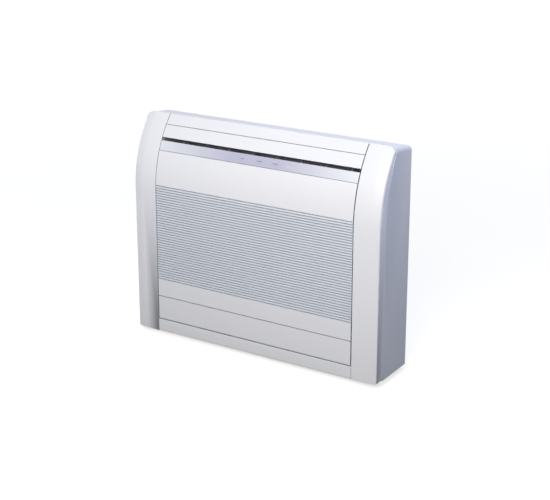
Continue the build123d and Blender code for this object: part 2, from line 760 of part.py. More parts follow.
with BuildPart() as intake_panel:
    with BuildSketch(across(-PANEL_HALF)):
        with BuildLine():
            skin_edges(run_at(PANEL_LOW), S_PANEL_HIGH, EDGE_BEVEL, 0.0)
        make_face()
    extrude(amount=2 * PANEL_HALF)
    with BuildSketch(Plane.XZ.offset(-(FRONT_Y + WALL - SINK))):
        with Locations((0, GRILLE_MID)):
            with GridLocations(RIB_PITCH, 0, RIB_PITCHES + 1, 1):
                Rectangle(RIB_T, GRILLE_HIGH - GRILLE_LOW + 2 * SLOT_PITCH)
    extrude(amount=-(RIB_DEPTH - WALL + SINK))
    with BuildSketch(Plane.XZ.offset(-(FRONT_Y - OVERRUN))):
        with Locations((0, GRILLE_MID)):
            with GridLocations(0, SLOT_PITCH, 1, SLOT_COUNT):
                Rectangle(2 * (PANEL_HALF + OVERRUN), SLOT_H)
    extrude(amount=-(OVERRUN + SLOT_DEPTH), mode=Mode.SUBTRACT)
    # a louvre rises inwards from the lower edge of each slot
    with BuildSketch(across(-PANEL_HALF)):
        with Locations((LOUVRE_Y, GRILLE_MID - SLOT_H / 2 + LOUVRE_RISE)):
            with GridLocations(0, SLOT_PITCH, 1, SLOT_COUNT):
                Rectangle(LOUVRE_L, LOUVRE_T, rotation=LOUVRE_DEG)
    extrude(amount=2 * PANEL_HALF)
    for side in (-1, 1):
        lug_mid = side * (ARM_OUT + LUG_PAST - LUG_T / 2)
        with BuildSketch(across(lug_mid - LUG_T / 2)):
            with Locations(PANEL_PIVOT):
                Circle(PANEL_PIN_R + LUG_ROUND)
            with Locations(((FRONT_Y + LUG_LAP + PANEL_PIVOT[0]) / 2, PANEL_PIVOT[1])):
                Rectangle(PANEL_PIVOT[0] - FRONT_Y - LUG_LAP, 2 * (PANEL_PIN_R + LUG_ROUND))
        extrude(amount=LUG_T)
        pin_l = PLATE_OUT + PIN_PAST - ARM_OUT - SINK
        pin_mid = side * (PLATE_OUT + PIN_PAST - pin_l / 2)
        with BuildSketch(across(pin_mid - pin_l / 2)):
            with Locations(PANEL_PIVOT):
                Circle(PANEL_PIN_R)
        extrude(amount=pin_l)
        striker_y = face_y(STRIKER_Z) + WALL - SINK
        with Locations((side * STRIKER_X, striker_y + STRIKER_L / 2, STRIKER_Z)):
            Box(STRIKER_W, STRIKER_L, STRIKER_T)
save(intake_panel.part, "intake_panel")


# ---------------------------------------------------------------- flaps


def flap(s_low, s_high, pivot, arm_low, arm_high, right_end, left_end):
    """A long flap: a skin with a bevelled upper edge, two end arms and two shaft ends."""
    with BuildPart() as piece:
        with BuildSketch(across(-PANEL_HALF)):
            with BuildLine():
                skin_edges(s_low, s_high, 0.0, -EDGE_BEVEL)
            make_face()
        extrude(amount=2 * PANEL_HALF)
        for arm_x in (-ARM_OUT, ARM_OUT - ARM_T):
            with BuildSketch(across(arm_x)):
                with BuildLine():
                    Polyline(
                        face_point(arm_low, WALL / 2),
                        face_point(arm_high, WALL / 2),
                        (pivot[0], pivot[1] + FLAP_SHAFT_R),
                        (pivot[0], pivot[1] - FLAP_SHAFT_R),
                        close=True,
                    )
                make_face()
                with Locations(pivot):
                    Circle(FLAP_SHAFT_R + ARM_ROUND)
            extrude(amount=ARM_T)
        with BuildSketch(across(ARM_OUT - SINK)):
            with Locations(pivot):
                Circle(FLAP_SHAFT_R)
        extrude(amount=right_end - ARM_OUT + SINK)
        with BuildSketch(across(-left_end)):
            with Locations(pivot):
                Circle(FLAP_SHAFT_R)
        extrude(amount=left_end - ARM_OUT + SINK)
    return piece.part


SHAFT_IN_MOTOR = 7.0
SHAFT_PAST_PLATE = 1.5
SHAFT_RIGHT = PLATE_OUT + SHAFT_IN_MOTOR
SHAFT_LEFT = PLATE_OUT + SHAFT_PAST_PLATE
save(
    flap(
        S_FLAP_LOW,
        S_FLAP_HIGH,
        UPPER_PIVOT,
        S_FLAP_LOW + UPPER_ARM_INSET,
        S_FLAP_HIGH - UPPER_ARM_INSET,
        SHAFT_RIGHT,
        SHAFT_LEFT,
    ),
    "upper_flap",
)
save(
    flap(
        run_at(LOWER_FLAP_LOW),
        run_at(LOWER_FLAP_HIGH),
        LOWER_PIVOT,
        run_at(LOWER_PIVOT_Z - LOWER_ARM_DOWN),
        run_at(LOWER_PIVOT_Z + LOWER_ARM_UP),
        SHAFT_RIGHT,
        SHAFT_LEFT,
    ),
    "lower_flap",
)


def flap_motor(pivot, name):
    """Stepper motor on the outside of the right end plate, with its shaft off centre."""
    centre = (pivot[0] + FLAP_MOTOR_OFFSET, pivot[1])
    with BuildPart() as motor:
        with BuildSketch(across(PLATE_OUT)):
            with Locations(centre):
                Circle(FLAP_MOTOR_R)
                Rectangle(EAR_W, 2 * (FLAP_MOTOR_R + EAR_REACH))
        extrude(amount=EAR_T)
        with BuildSketch(across(PLATE_OUT)):
            with Locations(centre):
                Circle(FLAP_MOTOR_R)
            with Locations((centre[0] + FLAP_MOTOR_R, centre[1])):
                Rectangle(PLUG_D, PLUG_H)
        extrude(amount=FLAP_MOTOR_L)
        with BuildSketch(across(PLATE_OUT)):
            with Locations(pivot):
                Circle(FLAP_SHAFT_R + RUN)
        extrude(amount=SHAFT_IN_MOTOR + OVERRUN, mode=Mode.SUBTRACT)
    save(motor.part, name)


flap_motor(UPPER_PIVOT, "upper_flap_motor")
flap_motor(LOWER_PIVOT, "lower_flap_motor")


# ---------------------------------------------------------------- display bar

BAR_RETURN = 7.0
SHELF_T = 2.0
SHELF_DEPTH = 39.0
SHELF_BACK = FRONT_Y + SHELF_DEPTH
LAMP_XS = (-38.0, 13.0, 60.0)
LAMP_W = 8.0
LAMP_H = 2.6
LAMP_RISE = 7.5
LAMP_RUN = run_at(BAR_LOW + LAMP_RISE)
WINDOW_X = 103.0
WINDOW_W = 31.0
WINDOW_H = 10.0
WINDOW_UP = 10.0
WINDOW_RUN = run_at(BAR_LOW + WINDOW_UP)
BOARD_DEPTH = 9.0
BOARD_T = 1.6
BOARD_X = 35.0
BOARD_W = 236.0
BOARD_RISE = 13.2
BOARD_RUN = S_BAR_LOW + BOARD_RISE
BOARD_H = 10.5
POST_R = 3.0
POST_INSET = 14.0
POST_X = BOARD_W / 2 - POST_INSET
POST_XS = (BOARD_X - POST_X, BOARD_X + POST_X)
with BuildPart() as display_bar:
    with BuildSketch(across(-PANEL_HALF)):
        with BuildLine():
            skin_edges(S_BAR_LOW, S_BAR_HIGH)
        make_face()
        with BuildLine():
            Polyline(
                face_point(S_BAR_HIGH, WALL / 2),
                face_point(S_BAR_HIGH, BAR_RETURN),
                face_point(S_BAR_HIGH - SHELF_T, BAR_RETURN),
                face_point(S_BAR_HIGH - SHELF_T, WALL / 2),
                close=True,
            )
        make_face()
        with BuildLine():
            Polyline(
                (face_y(BAR_LOW) + WALL / 2, BAR_LOW),
                (SHELF_BACK, BAR_LOW),
                (SHELF_BACK, BAR_LOW + SHELF_T),
                (face_y(BAR_LOW) + WALL / 2, BAR_LOW + SHELF_T),
                close=True,
            )
        make_face()
    extrude(amount=2 * PANEL_HALF)
    for lamp_x in LAMP_XS:
        with BuildSketch(face_plane(lamp_x, LAMP_RUN, -OVERRUN)):
            Rectangle(LAMP_W, LAMP_H)
        extrude(amount=-(WALL + 2 * OVERRUN), mode=Mode.SUBTRACT)
    with BuildSketch(face_plane(WINDOW_X, WINDOW_RUN, -OVERRUN)):
        Rectangle(WINDOW_W, WINDOW_H)
    extrude(amount=-(WALL + 2 * OVERRUN), mode=Mode.SUBTRACT)
    for post_x in POST_XS:
        with BuildSketch(face_plane(post_x, BOARD_RUN, WALL - SINK)):
            Circle(POST_R)
        extrude(amount=-(BOARD_DEPTH - WALL + SINK))
save(display_bar.part, "display_bar")

with BuildPart() as display_board:
    with BuildSketch(face_plane(BOARD_X, BOARD_RUN, BOARD_DEPTH)):
        Rectangle(BOARD_W, BOARD_H)
    extrude(amount=-BOARD_T)
save(display_board.part, "display_board")

LENS_GAP = 0.1
LENS_SUNK = 0.2
LENS_T = 4.5
with BuildPart() as lamp_lenses:
    for lamp_x in LAMP_XS:
        with BuildSketch(face_plane(lamp_x, LAMP_RUN, LENS_SUNK)):
            Rectangle(LAMP_W - 2 * LENS_GAP, LAMP_H - 2 * LENS_GAP)
        extrude(amount=-LENS_T)
save(lamp_lenses.part, "lamp_lenses")

with BuildPart() as receiver_window:
    with BuildSketch(face_plane(WINDOW_X, WINDOW_RUN, LENS_SUNK)):
        Rectangle(WINDOW_W - 2 * LENS_GAP, WINDOW_H - 2 * LENS_GAP)
    extrude(amount=-LENS_T)
save(receiver_window.part, "receiver_window")

CATCH_W = 16.0
CATCH_H = 16.0
CATCH_SLOT_W = 11.0
CATCH_SLOT_H = 6.0
CATCH_GAP = 1.4  # behind the bar's skin
CATCH_FRONT = face_y(BAR_LOW) + WALL + CATCH_GAP
with BuildPart() as panel_catches:
    catch_l = SHELF_BACK - CATCH_FRONT
    catch_y = (SHELF_BACK + CATCH_FRONT) / 2
    for side in (-1, 1):
        with Locations((side * STRIKER_X, catch_y, BAR_LOW - CATCH_H / 2)):
            Box(CATCH_W, catch_l, CATCH_H)
        with Locations((side * STRIKER_X, CATCH_FRONT + STRIKER_L / 2, STRIKER_Z)):
            Box(CATCH_SLOT_W, STRIKER_L + SEAT_GAP, CATCH_SLOT_H, mode=Mode.SUBTRACT)
save(panel_catches.part, "panel_catches")


# ---------------------------------------------------------------- air path of the upper fan


def around(z, radius, angle):
    """Point at a radius and an angle from the rear about a fan's axis at the height z."""
    return (FAN_Y + radius * cos(radians(angle)), z + radius * sin(radians(angle)))


DUCT_HALF = PLATE_IN - FIT
DUCT_FRONT_HALF = COLUMN_IN - FIT
COLUMN_GAP = 0.5  # ducts behind the columns' flanges
TONGUE_R = FAN_R + FAN_GAP
UPPER_TONGUE = around(UPPER_FAN_Z, TONGUE_R, 150)
LIP_GAP = 1.0  # duct floor below and behind the bar's return
UPPER_LIP = face_point(S_BAR_HIGH - LIP_GAP, BAR_RETURN + LIP_GAP)
DUCT_L = hypot(UPPER_LIP[0] - UPPER_TONGUE[0], UPPER_LIP[1] - UPPER_TONGUE[1])
FLOW = (
    (UPPER_LIP[0] - UPPER_TONGUE[0]) / DUCT_L,
    (UPPER_LIP[1] - UPPER_TONGUE[1]) / DUCT_L,
)
ACROSS = (FLOW[1], -FLOW[0])


def duct_point(u, v):
    """Point u along the upper duct's floor from the vanes' pins and v above it."""
    return (
        VANE_PIVOT[0] + u * FLOW[0] + v * ACROSS[0],
        VANE_PIVOT[1] + u * FLOW[1] + v * ACROSS[1],
    )


VANE_AT = 28.0  # vane pins along the duct's floor from the tongue
VANE_PIVOT = (
    UPPER_TONGUE[0] + VANE_AT * FLOW[0],
    UPPER_TONGUE[1] + VANE_AT * FLOW[1],
)
VANE_XS = [(i - (VANES - 1) / 2) * VANE_PITCH for i in range(VANES)]
DUCT_UP = Vector(0, ACROSS[0], ACROSS[1])


def clear_of_columns():
    """Cut the open builder's part where the columns' inner flanges stand."""
    for side in (-1, 1):
        x_low = min(side * DUCT_FRONT_HALF, side * (DUCT_HALF + OVERRUN))
        with BuildSketch(across(x_low)) as corner:
            with BuildLine():
                part_edges(0.0, HEIGHT, COLUMN_GAP)
                Polyline(
                    part_point(HEIGHT, COLUMN_GAP),
                    (FRONT_Y - OVERRUN, HEIGHT),
                    (FRONT_Y - OVERRUN, 0),
                    part_point(0, COLUMN_GAP),
                )
            make_face()
        corner_w = DUCT_HALF + OVERRUN - DUCT_FRONT_HALF
        extrude(corner.sketch, amount=corner_w, mode=Mode.SUBTRACT)


SCROLL_END_DEPTH = 74.5
SCROLL_END_DROP = 31.5
SCROLL_END = (FRONT_Y + SCROLL_END_DEPTH, HEIGHT - SCROLL_END_DROP)
SCROLL_R = FAN_R + FAN_GAP
with BuildPart() as upper_scroll:
    with BuildSketch(across(-DUCT_HALF)):
        with BuildLine():
            guide = ThreePointArc(
                around(UPPER_FAN_Z, SCROLL_R, -50),
                around(UPPER_FAN_Z, SCROLL_R + SCROLL_MID_GAP, 0),
                around(UPPER_FAN_Z, SCROLL_R + UPPER_SCROLL_GAP, 70),
            )
            TangentArc(guide @ 1, SCROLL_END, tangent=guide % 1)
        trace(line_width=WALL)
    extrude(amount=2 * DUCT_HALF)
    clear_of_columns()
save(upper_scroll.part, "upper_scroll")

FLOOR_BACK = -VANE_AT
FLOOR_GAP = 1.5
FLOOR_FRONT = DUCT_L - VANE_AT - FLOOR_GAP
UPPER_HOOK = around(UPPER_FAN_Z, TONGUE_R, 172)
CAP_RISE = 8.0
CAP_Z = COIL_TOP + CAP_RISE
CAP_PAST = 2.0
CAP_BACK = COIL_BACK + CAP_PAST
CAP_GAP = 2.5  # middle of the cap's wall behind the filters
CAP_FRONT = FILTER_FRONT + FILTER_T + CAP_GAP
CAP_LAP = 10.0  # how far the cap laps down over the coil's front
BOSS_R = 4.5
BOSS_L = 7.0
with BuildPart() as upper_stabiliser:
    with BuildSketch(across(-DUCT_HALF)):
        with BuildLine():
            Polyline(
                duct_point(FLOOR_FRONT, -WALL / 2),
                duct_point(FLOOR_BACK, -WALL / 2),
                UPPER_HOOK,
                (CAP_BACK, CAP_Z),
                (CAP_FRONT, CAP_Z),
                (CAP_FRONT, COIL_TOP - CAP_LAP),
            )
        trace(line_width=WALL)
    extrude(amount=2 * DUCT_HALF)
    clear_of_columns()
    for vane_x in VANE_XS:
        boss = Plane(origin=at_x(vane_x, duct_point(0, -WALL / 2)), z_dir=-DUCT_UP)
        with BuildSketch(boss):
            Circle(BOSS_R)
        extrude(amount=BOSS_L)
    for vane_x in VANE_XS:
        bore = Plane(origin=at_x(vane_x, duct_point(0, OVERRUN)), z_dir=-DUCT_UP)
        with BuildSketch(bore):
            Circle(VANE_PIN_R + RUN)
        extrude(amount=BOSS_L + 2 * WALL, mode=Mode.SUBTRACT)
save(upper_stabiliser.part, "upper_stabiliser")


def vane(x):
    """One upright vane with its hub, its pin and the slot for the tie bar."""
    side_plane = Plane(
        origin=at_x(x + VANE_T / 2, VANE_PIVOT),
        x_dir=(0, FLOW[0], FLOW[1]),
        z_dir=(-1, 0, 0),
    )
    with BuildPart() as piece:
        with BuildSketch(side_plane):
            with BuildLine():
                Polyline(
                    (-VANE_BACK, VANE_LOW),
                    (VANE_FRONT, VANE_LOW),
                    (VANE_FRONT, VANE_HIGH),
                    (-VANE_BACK, VANE_HIGH),
                    close=True,
                )
            make_face()
            with Locations((VANE_FRONT, VANE_LOW), (VANE_FRONT, VANE_HIGH)):
                Rectangle(VANE_CUT, VANE_CUT, rotation=45, mode=Mode.SUBTRACT)
            with Locations((-VANE_BACK, LINK_SLOT_LOW + LINK_SLOT_H / 2)):
                Rectangle(
                    2 * (VANE_BACK - LINK_AT + LINK_SLOT_AHEAD),
                    LINK_SLOT_H,
                    mode=Mode.SUBTRACT,
                )
        extrude(amount=VANE_T)
        with BuildSketch(Plane(origin=at_x(x, duct_point(0, VANE_LIFT)), z_dir=DUCT_UP)):
            Circle(VANE_PIN_R + VANE_HUB_WALL)
        extrude(amount=VANE_HUB_L)
        with BuildSketch(Plane(origin=at_x(x, duct_point(0, VANE_PIN_UP)), z_dir=-DUCT_UP)):
            Circle(VANE_PIN_R)
        extrude(amount=VANE_PIN_L)
        link_low = duct_point(-LINK_AT, LINK_SLOT_LOW - LINK_PIN_LAP)
        with BuildSketch(Plane(origin=at_x(x, link_low), z_dir=DUCT_UP)):
            Circle(LINK_PIN_R)
        extrude(amount=LINK_SLOT_H + 2 * LINK_PIN_LAP)
    return piece.part


for index, vane_x in enumerate(VANE_XS):
    save(vane(vane_x), f"vane_{index + 1}")

LINK_END = 7.0
LINK_HALF = VANE_XS[-1] + LINK_END
LINK_MID_V = LINK_SLOT_LOW + LINK_SLOT_H / 2
with BuildPart() as vane_tie_bar:
    bar_plane = Plane(
        origin=at_x(0, duct_point(-LINK_AT, LINK_MID_V - LINK_T / 2)),
        x_dir=(1, 0, 0),
        z_dir=DUCT_UP,
    )
    with BuildSketch(bar_plane):
        SlotOverall(2 * LINK_HALF, LINK_W)
        with Locations([(vane_x, 0) for vane_x in VANE_XS]):
            Circle(LINK_PIN_R + RUN, mode=Mode.SUBTRACT)
    extrude(amount=LINK_T)
save(vane_tie_bar.part, "vane_tie_bar")


# ---------------------------------------------------------------- air path of the lower fan

LOWER_LIP_DEPTH = 8.0
LOWER_TONGUE = around(LOWER_FAN_Z, TONGUE_R, -150)
LOWER_HOOK = around(LOWER_FAN_Z, TONGUE_R, -172)
with BuildPart() as lower_scroll:
    with BuildSketch(across(-DUCT_HALF)):
        with BuildLine():
            lower_guide = ThreePointArc(
                around(LOWER_FAN_Z, SCROLL_R, 50),
                around(LOWER_FAN_Z, SCROLL_R + SCROLL_MID_GAP, 0),
                around(LOWER_FAN_Z, SCROLL_R + LOWER_SCROLL_GAP, -75),
            )
            TangentArc(
                lower_guide @ 1,
                (FRONT_Y + LOWER_LIP_DEPTH, LOWER_FLAP_LOW + LIP_GAP),
                tangent=lower_guide % 1,
            )
        trace(line_width=WALL)
    extrude(amount=2 * DUCT_HALF)
    clear_of_columns()
save(lower_scroll.part, "lower_scroll")

ROOF_DEPTH = 26.0  # front end of the duct's roof
ROOF_RISE = 1.5  # above the lower flap's pivot
SHELF_PAST = 4.0
SHELF_IN = 1.0
SHELF_Z = TRAY_Z - WALL / 2
with BuildPart() as lower_stabiliser:
    with BuildSketch(across(-DUCT_HALF)):
        with BuildLine():
            Polyline((FRONT_Y + ROOF_DEPTH, LOWER_PIVOT_Z + ROOF_RISE), LOWER_TONGUE)
        trace(line_width=WALL)
        with BuildLine():
            Polyline(
                LOWER_TONGUE,
                LOWER_HOOK,
                (TRAY_BACK + SHELF_PAST, SHELF_Z),
                (TRAY_FRONT + SHELF_IN, SHELF_Z),
            )
        trace(line_width=WALL)
    extrude(amount=2 * DUCT_HALF)
    clear_of_columns()
save(lower_stabiliser.part, "lower_stabiliser")


# ---------------------------------------------------------------- fans, bushes and motors


def fan(z):
    """Cross-flow fan: slanted blades between discs, with a shaft end at each side."""
    disc_pitch = (2 * FAN_HALF_L - DISC_T) / (DISCS - 1)
    with BuildPart() as wheel:
        with BuildSketch(across(-FAN_HALF_L)):
            with Locations((FAN_Y, z)):
                with PolarLocations(FAN_R - BLADE_W / 2 - BLADE_INSET, BLADES):
                    Rectangle(BLADE_W, BLADE_T, rotation=90 - BLADE_TURN)
        extrude(amount=2 * FAN_HALF_L)
        for index in range(DISCS):
            with BuildSketch(across(-FAN_HALF_L + index * disc_pitch)):
                with Locations((FAN_Y, z)):
                    Circle(FAN_R)
                    if 0 < index < DISCS - 1:
                        Circle(FAN_R - DISC_W, mode=Mode.SUBTRACT)
            extrude(amount=DISC_T)
        shaft_root = FAN_HALF_L - DISC_T / 2
        for shaft_low, shaft_high in (
            (-PLATE_OUT - SHAFT_PAST_BUSH, -shaft_root),
            (shaft_root, PLATE_OUT + SHAFT_TO_MOTOR),
        ):
            with BuildSketch(across(shaft_low)):
                with Locations((FAN_Y, z)):
                    Circle(FAN_SHAFT_R)
            extrude(amount=shaft_high - shaft_low)
    return wheel.part


save(fan(UPPER_FAN_Z), "upper_fan")
save(fan(LOWER_FAN_Z), "lower_fan")

FLANGE_T = 2.5
FLANGE_W = 3.0
with BuildPart() as fan_bushes:
    for fan_z in (UPPER_FAN_Z, LOWER_FAN_Z):
        with BuildSketch(across(-PLATE_OUT)):
            with Locations((FAN_Y, fan_z)):
                Circle(BUSH_R - SEAT_GAP)
        extrude(amount=PLATE_T)
        with BuildSketch(across(-PLATE_OUT - FLANGE_T)):
            with Locations((FAN_Y, fan_z)):
                Circle(BUSH_R + FLANGE_W)
        extrude(amount=FLANGE_T)
        with BuildSketch(across(-PLATE_OUT - FLANGE_T)):
            with Locations((FAN_Y, fan_z)):
                Circle(FAN_SHAFT_R + RUN)
        extrude(amount=FLANGE_T + PLATE_T, mode=Mode.SUBTRACT)
save(fan_bushes.part, "fan_bushes")


def fan_motor(z):
    """Closed round motor on the outside of the right end plate."""
    with BuildPart() as motor:
        with BuildSketch(across(PLATE_OUT)):
            with Locations((FAN_Y, z)):
                Circle(MOTOR_NOSE_R)
        extrude(amount=MOTOR_NOSE_L)
        with BuildSketch(across(PLATE_OUT + MOTOR_NOSE_L)):
            with Locations((FAN_Y, z)):
                Circle(MOTOR_R)
        extrude(amount=MOTOR_L)
        fillet(motor.faces().sort_by(Axis.X)[-1].edges(), radius=MOTOR_EDGE_R)
        with BuildSketch(across(PLATE_OUT)):
            with Locations((FAN_Y, z)):
                Circle(FAN_SHAFT_R + RUN)
        extrude(amount=SHAFT_TO_MOTOR + MOTOR_BORE_GAP, mode=Mode.SUBTRACT)
    return motor.part


save(fan_motor(UPPER_FAN_Z), "upper_fan_motor")
save(fan_motor(LOWER_FAN_Z), "lower_fan_motor")

STRAP_T = 2.0
STRAP_W = 12.0
STRAP_FROM = 6.0  # from the motor's front face
STRAP_LEG = 16.0
STRAP_LEG_DROP = 2.0  # middle of the legs below the shaft
STRAP_GAP = 0.1
STRAP_IN = MOTOR_R + STRAP_GAP
STRAP_OUT = STRAP_IN + STRAP_T
with BuildPart() as motor_straps:
    for fan_z in (UPPER_FAN_Z, LOWER_FAN_Z):
        with BuildSketch(across(PLATE_OUT + MOTOR_NOSE_L + STRAP_FROM)):
            with Locations((FAN_Y, fan_z)):
                Circle(STRAP_OUT)
                Circle(STRAP_IN, mode=Mode.SUBTRACT)
            with Locations((FAN_Y, fan_z - STRAP_OUT)):
                Rectangle(2 * STRAP_OUT + OVERRUN, 2 * STRAP_OUT, mode=Mode.SUBTRACT)
        extrude(amount=STRAP_W)
        with BuildSketch(across(PLATE_OUT)):
            for leg in (-1, 1):
                leg_y = FAN_Y + leg * (STRAP_IN + STRAP_T / 2)
                with Locations((leg_y, fan_z - STRAP_LEG_DROP)):
                    Rectangle(STRAP_T, STRAP_LEG)
        extrude(amount=MOTOR_NOSE_L + STRAP_FROM + STRAP_W)
save(motor_straps.part, "motor_straps")


# ---------------------------------------------------------------- heat exchanger

COIL_LIFT = 4.0  # fins above the drain pan's floor
COIL_PLATE_LAP = 2.0  # end plates beyond the fins
COIL_LOW = TRAY_FLOOR + COIL_LIFT
COIL_PLATE_TOP = COIL_TOP + COIL_PLATE_LAP
with BuildPart() as fin_pack:
    with BuildSketch(across(COIL_LEFT)):
        with Locations(((COIL_FRONT + COIL_BACK) / 2, (COIL_LOW + COIL_TOP) / 2)):
            Rectangle(COIL_T, COIL_TOP - COIL_LOW)
    extrude(amount=COIL_RIGHT - COIL_LEFT)
save(fin_pack.part, "fin_pack")

COIL_ENDS = (COIL_LEFT - COIL_PLATE_T, COIL_RIGHT)
with BuildPart() as coil_end_plates:
    for plate_x in COIL_ENDS:
        with BuildSketch(across(plate_x)):
            with Locations(((COIL_FRONT + COIL_BACK) / 2, (TRAY_FLOOR + COIL_PLATE_TOP) / 2)):
                Rectangle(COIL_T + 2 * COIL_PLATE_LAP, COIL_PLATE_TOP - TRAY_FLOOR)
        extrude(amount=COIL_PLATE_T)
save(coil_end_plates.part, "coil_end_plates")


with BuildPart() as coil_bends:
    for tube_y in TUBE_ROWS:
        for index in range(TUBE_COUNT - 1):
            tube_z = TUBE_Z + index * TUBE_PITCH
            if index % 2 == 0:
                bend_x = COIL_RIGHT + COIL_PLATE_T
                out = 1
            else:
                bend_x = COIL_LEFT - COIL_PLATE_T
                out = -1
            half = TUBE_PITCH / 2
            ring = Plane(origin=(bend_x, tube_y, tube_z), x_dir=(0, 1, 0), z_dir=(out, 0, 0))
            with BuildSketch(ring):
                Circle(TUBE_R)
            revolve(
                axis=Axis((bend_x, tube_y, tube_z + half), (0, -out, 0)),
                revolution_arc=180,
            )
save(coil_bends.part, "coil_bends")

GAS_R = 4.76
LIQUID_R = 3.18
PIPE_BEND_R = 16.0
GAS_INSET = 25.0  # pipes from the left side, and from the knockout's middle
LIQUID_INSET = 48.0
GAS_BACK = 16.0
LIQUID_AHEAD = 6.0
GAS_X = GAS_INSET - HALF_W
LIQUID_X = LIQUID_INSET - HALF_W
GAS_Y = KNOCKOUT_Y + GAS_BACK
LIQUID_Y = KNOCKOUT_Y - LIQUID_AHEAD
PIPE_END_Z = 74.0
COIL_EXIT_X = COIL_LEFT - COIL_PLATE_T
NUT_H = 18.0
NUT_BELOW = 2.0  # nuts reach below the pipes' ends
GAS_NUT_R = 11.0
LIQUID_NUT_R = 8.5


def pipe(radius, start_z, out_x, turn_y, name):
    """Copper pipe from the coil's left end, down to its flare nut in the compartment."""
    start = (COIL_EXIT_X, TUBE_ROWS[1], start_z)
    with BuildPart() as tube:
        with BuildLine() as route:
            FilletPolyline(
                start,
                (out_x, TUBE_ROWS[1], start_z),
                (out_x, turn_y, start_z),
                (out_x, turn_y, PIPE_END_Z),
                radius=PIPE_BEND_R,
            )
        with BuildSketch(Plane(origin=start, z_dir=(-1, 0, 0))):
            Circle(radius)
        sweep(path=route.line)
    save(tube.part, name)


pipe(GAS_R, TUBE_Z, GAS_X, GAS_Y, "gas_pipe")
pipe(LIQUID_R, TUBE_Z + (TUBE_COUNT - 1) * TUBE_PITCH, LIQUID_X, LIQUID_Y, "liquid_pipe")

with BuildPart() as flare_nuts:
    for nut_x, nut_y, pipe_r, nut_r in (
        (GAS_X, GAS_Y, GAS_R, GAS_NUT_R),
        (LIQUID_X, LIQUID_Y, LIQUID_R, LIQUID_NUT_R),
    ):
        with BuildSketch(Plane.XY.offset(PIPE_END_Z - NUT_BELOW)):
            with Locations((nut_x, nut_y)):
                RegularPolygon(nut_r, 6, major_radius=False)
                Circle(pipe_r + RUN, mode=Mode.SUBTRACT)
        extrude(amount=NUT_H)
save(flare_nuts.part, "flare_nuts")

TRAY_MID = ((TRAY_LEFT + TRAY_RIGHT) / 2, (TRAY_FRONT + TRAY_BACK) / 2)
TRAY_L = TRAY_RIGHT - TRAY_LEFT
RIM_T = 2.0
RIM_OUT = 3.0
with BuildPart() as drain_pan:
    with BuildSketch(Plane.XY.offset(TRAY_Z)):
        with Locations(TRAY_MID):
            Rectangle(TRAY_L, TRAY_D)
    extrude(amount=TRAY_H)
    with BuildSketch(Plane.XY.offset(TRAY_Z + TRAY_H - RIM_T)):
        with Locations((TRAY_MID[0], TRAY_FRONT - (RIM_OUT - SINK) / 2)):
            Rectangle(TRAY_L, RIM_OUT + SINK)
    extrude(amount=RIM_T)
    with BuildSketch(Plane.XY.offset(TRAY_FLOOR)):
        with Locations(TRAY_MID):
            Rectangle(TRAY_L - 2 * TRAY_WALL, TRAY_D - 2 * TRAY_WALL)
    extrude(amount=TRAY_H, mode=Mode.SUBTRACT)
    with BuildSketch(across(TRAY_LEFT - SPOUT_L)):
        with Locations((SPOUT_Y, SPOUT_Z)):
            Circle(SPOUT_R)
    extrude(amount=SPOUT_L + SINK)
    with BuildSketch(across(TRAY_LEFT - SPOUT_L)):
        with Locations((SPOUT_Y, SPOUT_Z)):
            Circle(SPOUT_BORE_R)
    extrude(amount=SPOUT_L + TRAY_WALL, mode=Mode.SUBTRACT)
save(drain_pan.part, "drain_pan")


# ---------------------------------------------------------------- filters

FILTER_LEFT = COIL_LEFT + FILTER_END_GAP
FILTER_RIGHT = COIL_RIGHT - FILTER_END_GAP
FILTER_GAP = 2.0
FILTER_W = (FILTER_RIGHT - FILTER_LEFT - FILTER_GAP) / 2
FILTER_BARS = 4
FILTER_ROWS = 6


def filter_frame(x_low, name):
    """Air filter frame with its crossing bars; it stands on the drain pan's rim."""
    cell_w = (FILTER_W - FILTER_BORDER) / FILTER_BARS
    cell_h = (FILTER_H - FILTER_BORDER) / FILTER_ROWS
    with BuildPart() as frame:
        with BuildSketch(Plane.XZ.offset(-FILTER_FRONT)):
            with Locations((x_low + FILTER_W / 2, FILTER_Z + FILTER_H / 2)):
                Rectangle(FILTER_W, FILTER_H)
                with GridLocations(cell_w, cell_h, FILTER_BARS, FILTER_ROWS):
                    Rectangle(
                        cell_w - FILTER_BORDER / 2,
                        cell_h - FILTER_BORDER / 2,
                        mode=Mode.SUBTRACT,
                    )
        extrude(amount=-FILTER_T)
    save(frame.part, name)


filter_frame(FILTER_LEFT, "left_filter")
filter_frame(FILTER_LEFT + FILTER_W + FILTER_GAP, "right_filter")

CARTRIDGE_W = 110.0
CARTRIDGE_H = 56.0
CARTRIDGE_T = 4.5
CARTRIDGE_R = 4.0
CARTRIDGE_BORDER = 6.0
CARTRIDGE_CELLS = 5
CARTRIDGE_RIB = 6.0
CARTRIDGE_CELL_W = (CARTRIDGE_W - 2 * CARTRIDGE_BORDER + CARTRIDGE_RIB) / CARTRIDGE_CELLS
CARTRIDGE_INSET = 130.0  # from the coil's ends
CARTRIDGE_DROP = 96.0
CARTRIDGE_Z = COIL_TOP - CARTRIDGE_DROP
with BuildPart() as cleaning_filters:
    with BuildSketch(Plane.XZ.offset(-COIL_FRONT)):
        with Locations(
            (COIL_LEFT + CARTRIDGE_INSET, CARTRIDGE_Z),
            (COIL_RIGHT - CARTRIDGE_INSET, CARTRIDGE_Z),
        ):
            RectangleRounded(CARTRIDGE_W, CARTRIDGE_H, CARTRIDGE_R)
            with GridLocations(CARTRIDGE_CELL_W, 0, CARTRIDGE_CELLS, 1):
                Rectangle(
                    CARTRIDGE_CELL_W - CARTRIDGE_RIB,
                    CARTRIDGE_H - 2 * CARTRIDGE_BORDER,
                    mode=Mode.SUBTRACT,
                )
    extrude(amount=CARTRIDGE_T)
save(cleaning_filters.part, "cleaning_filters")


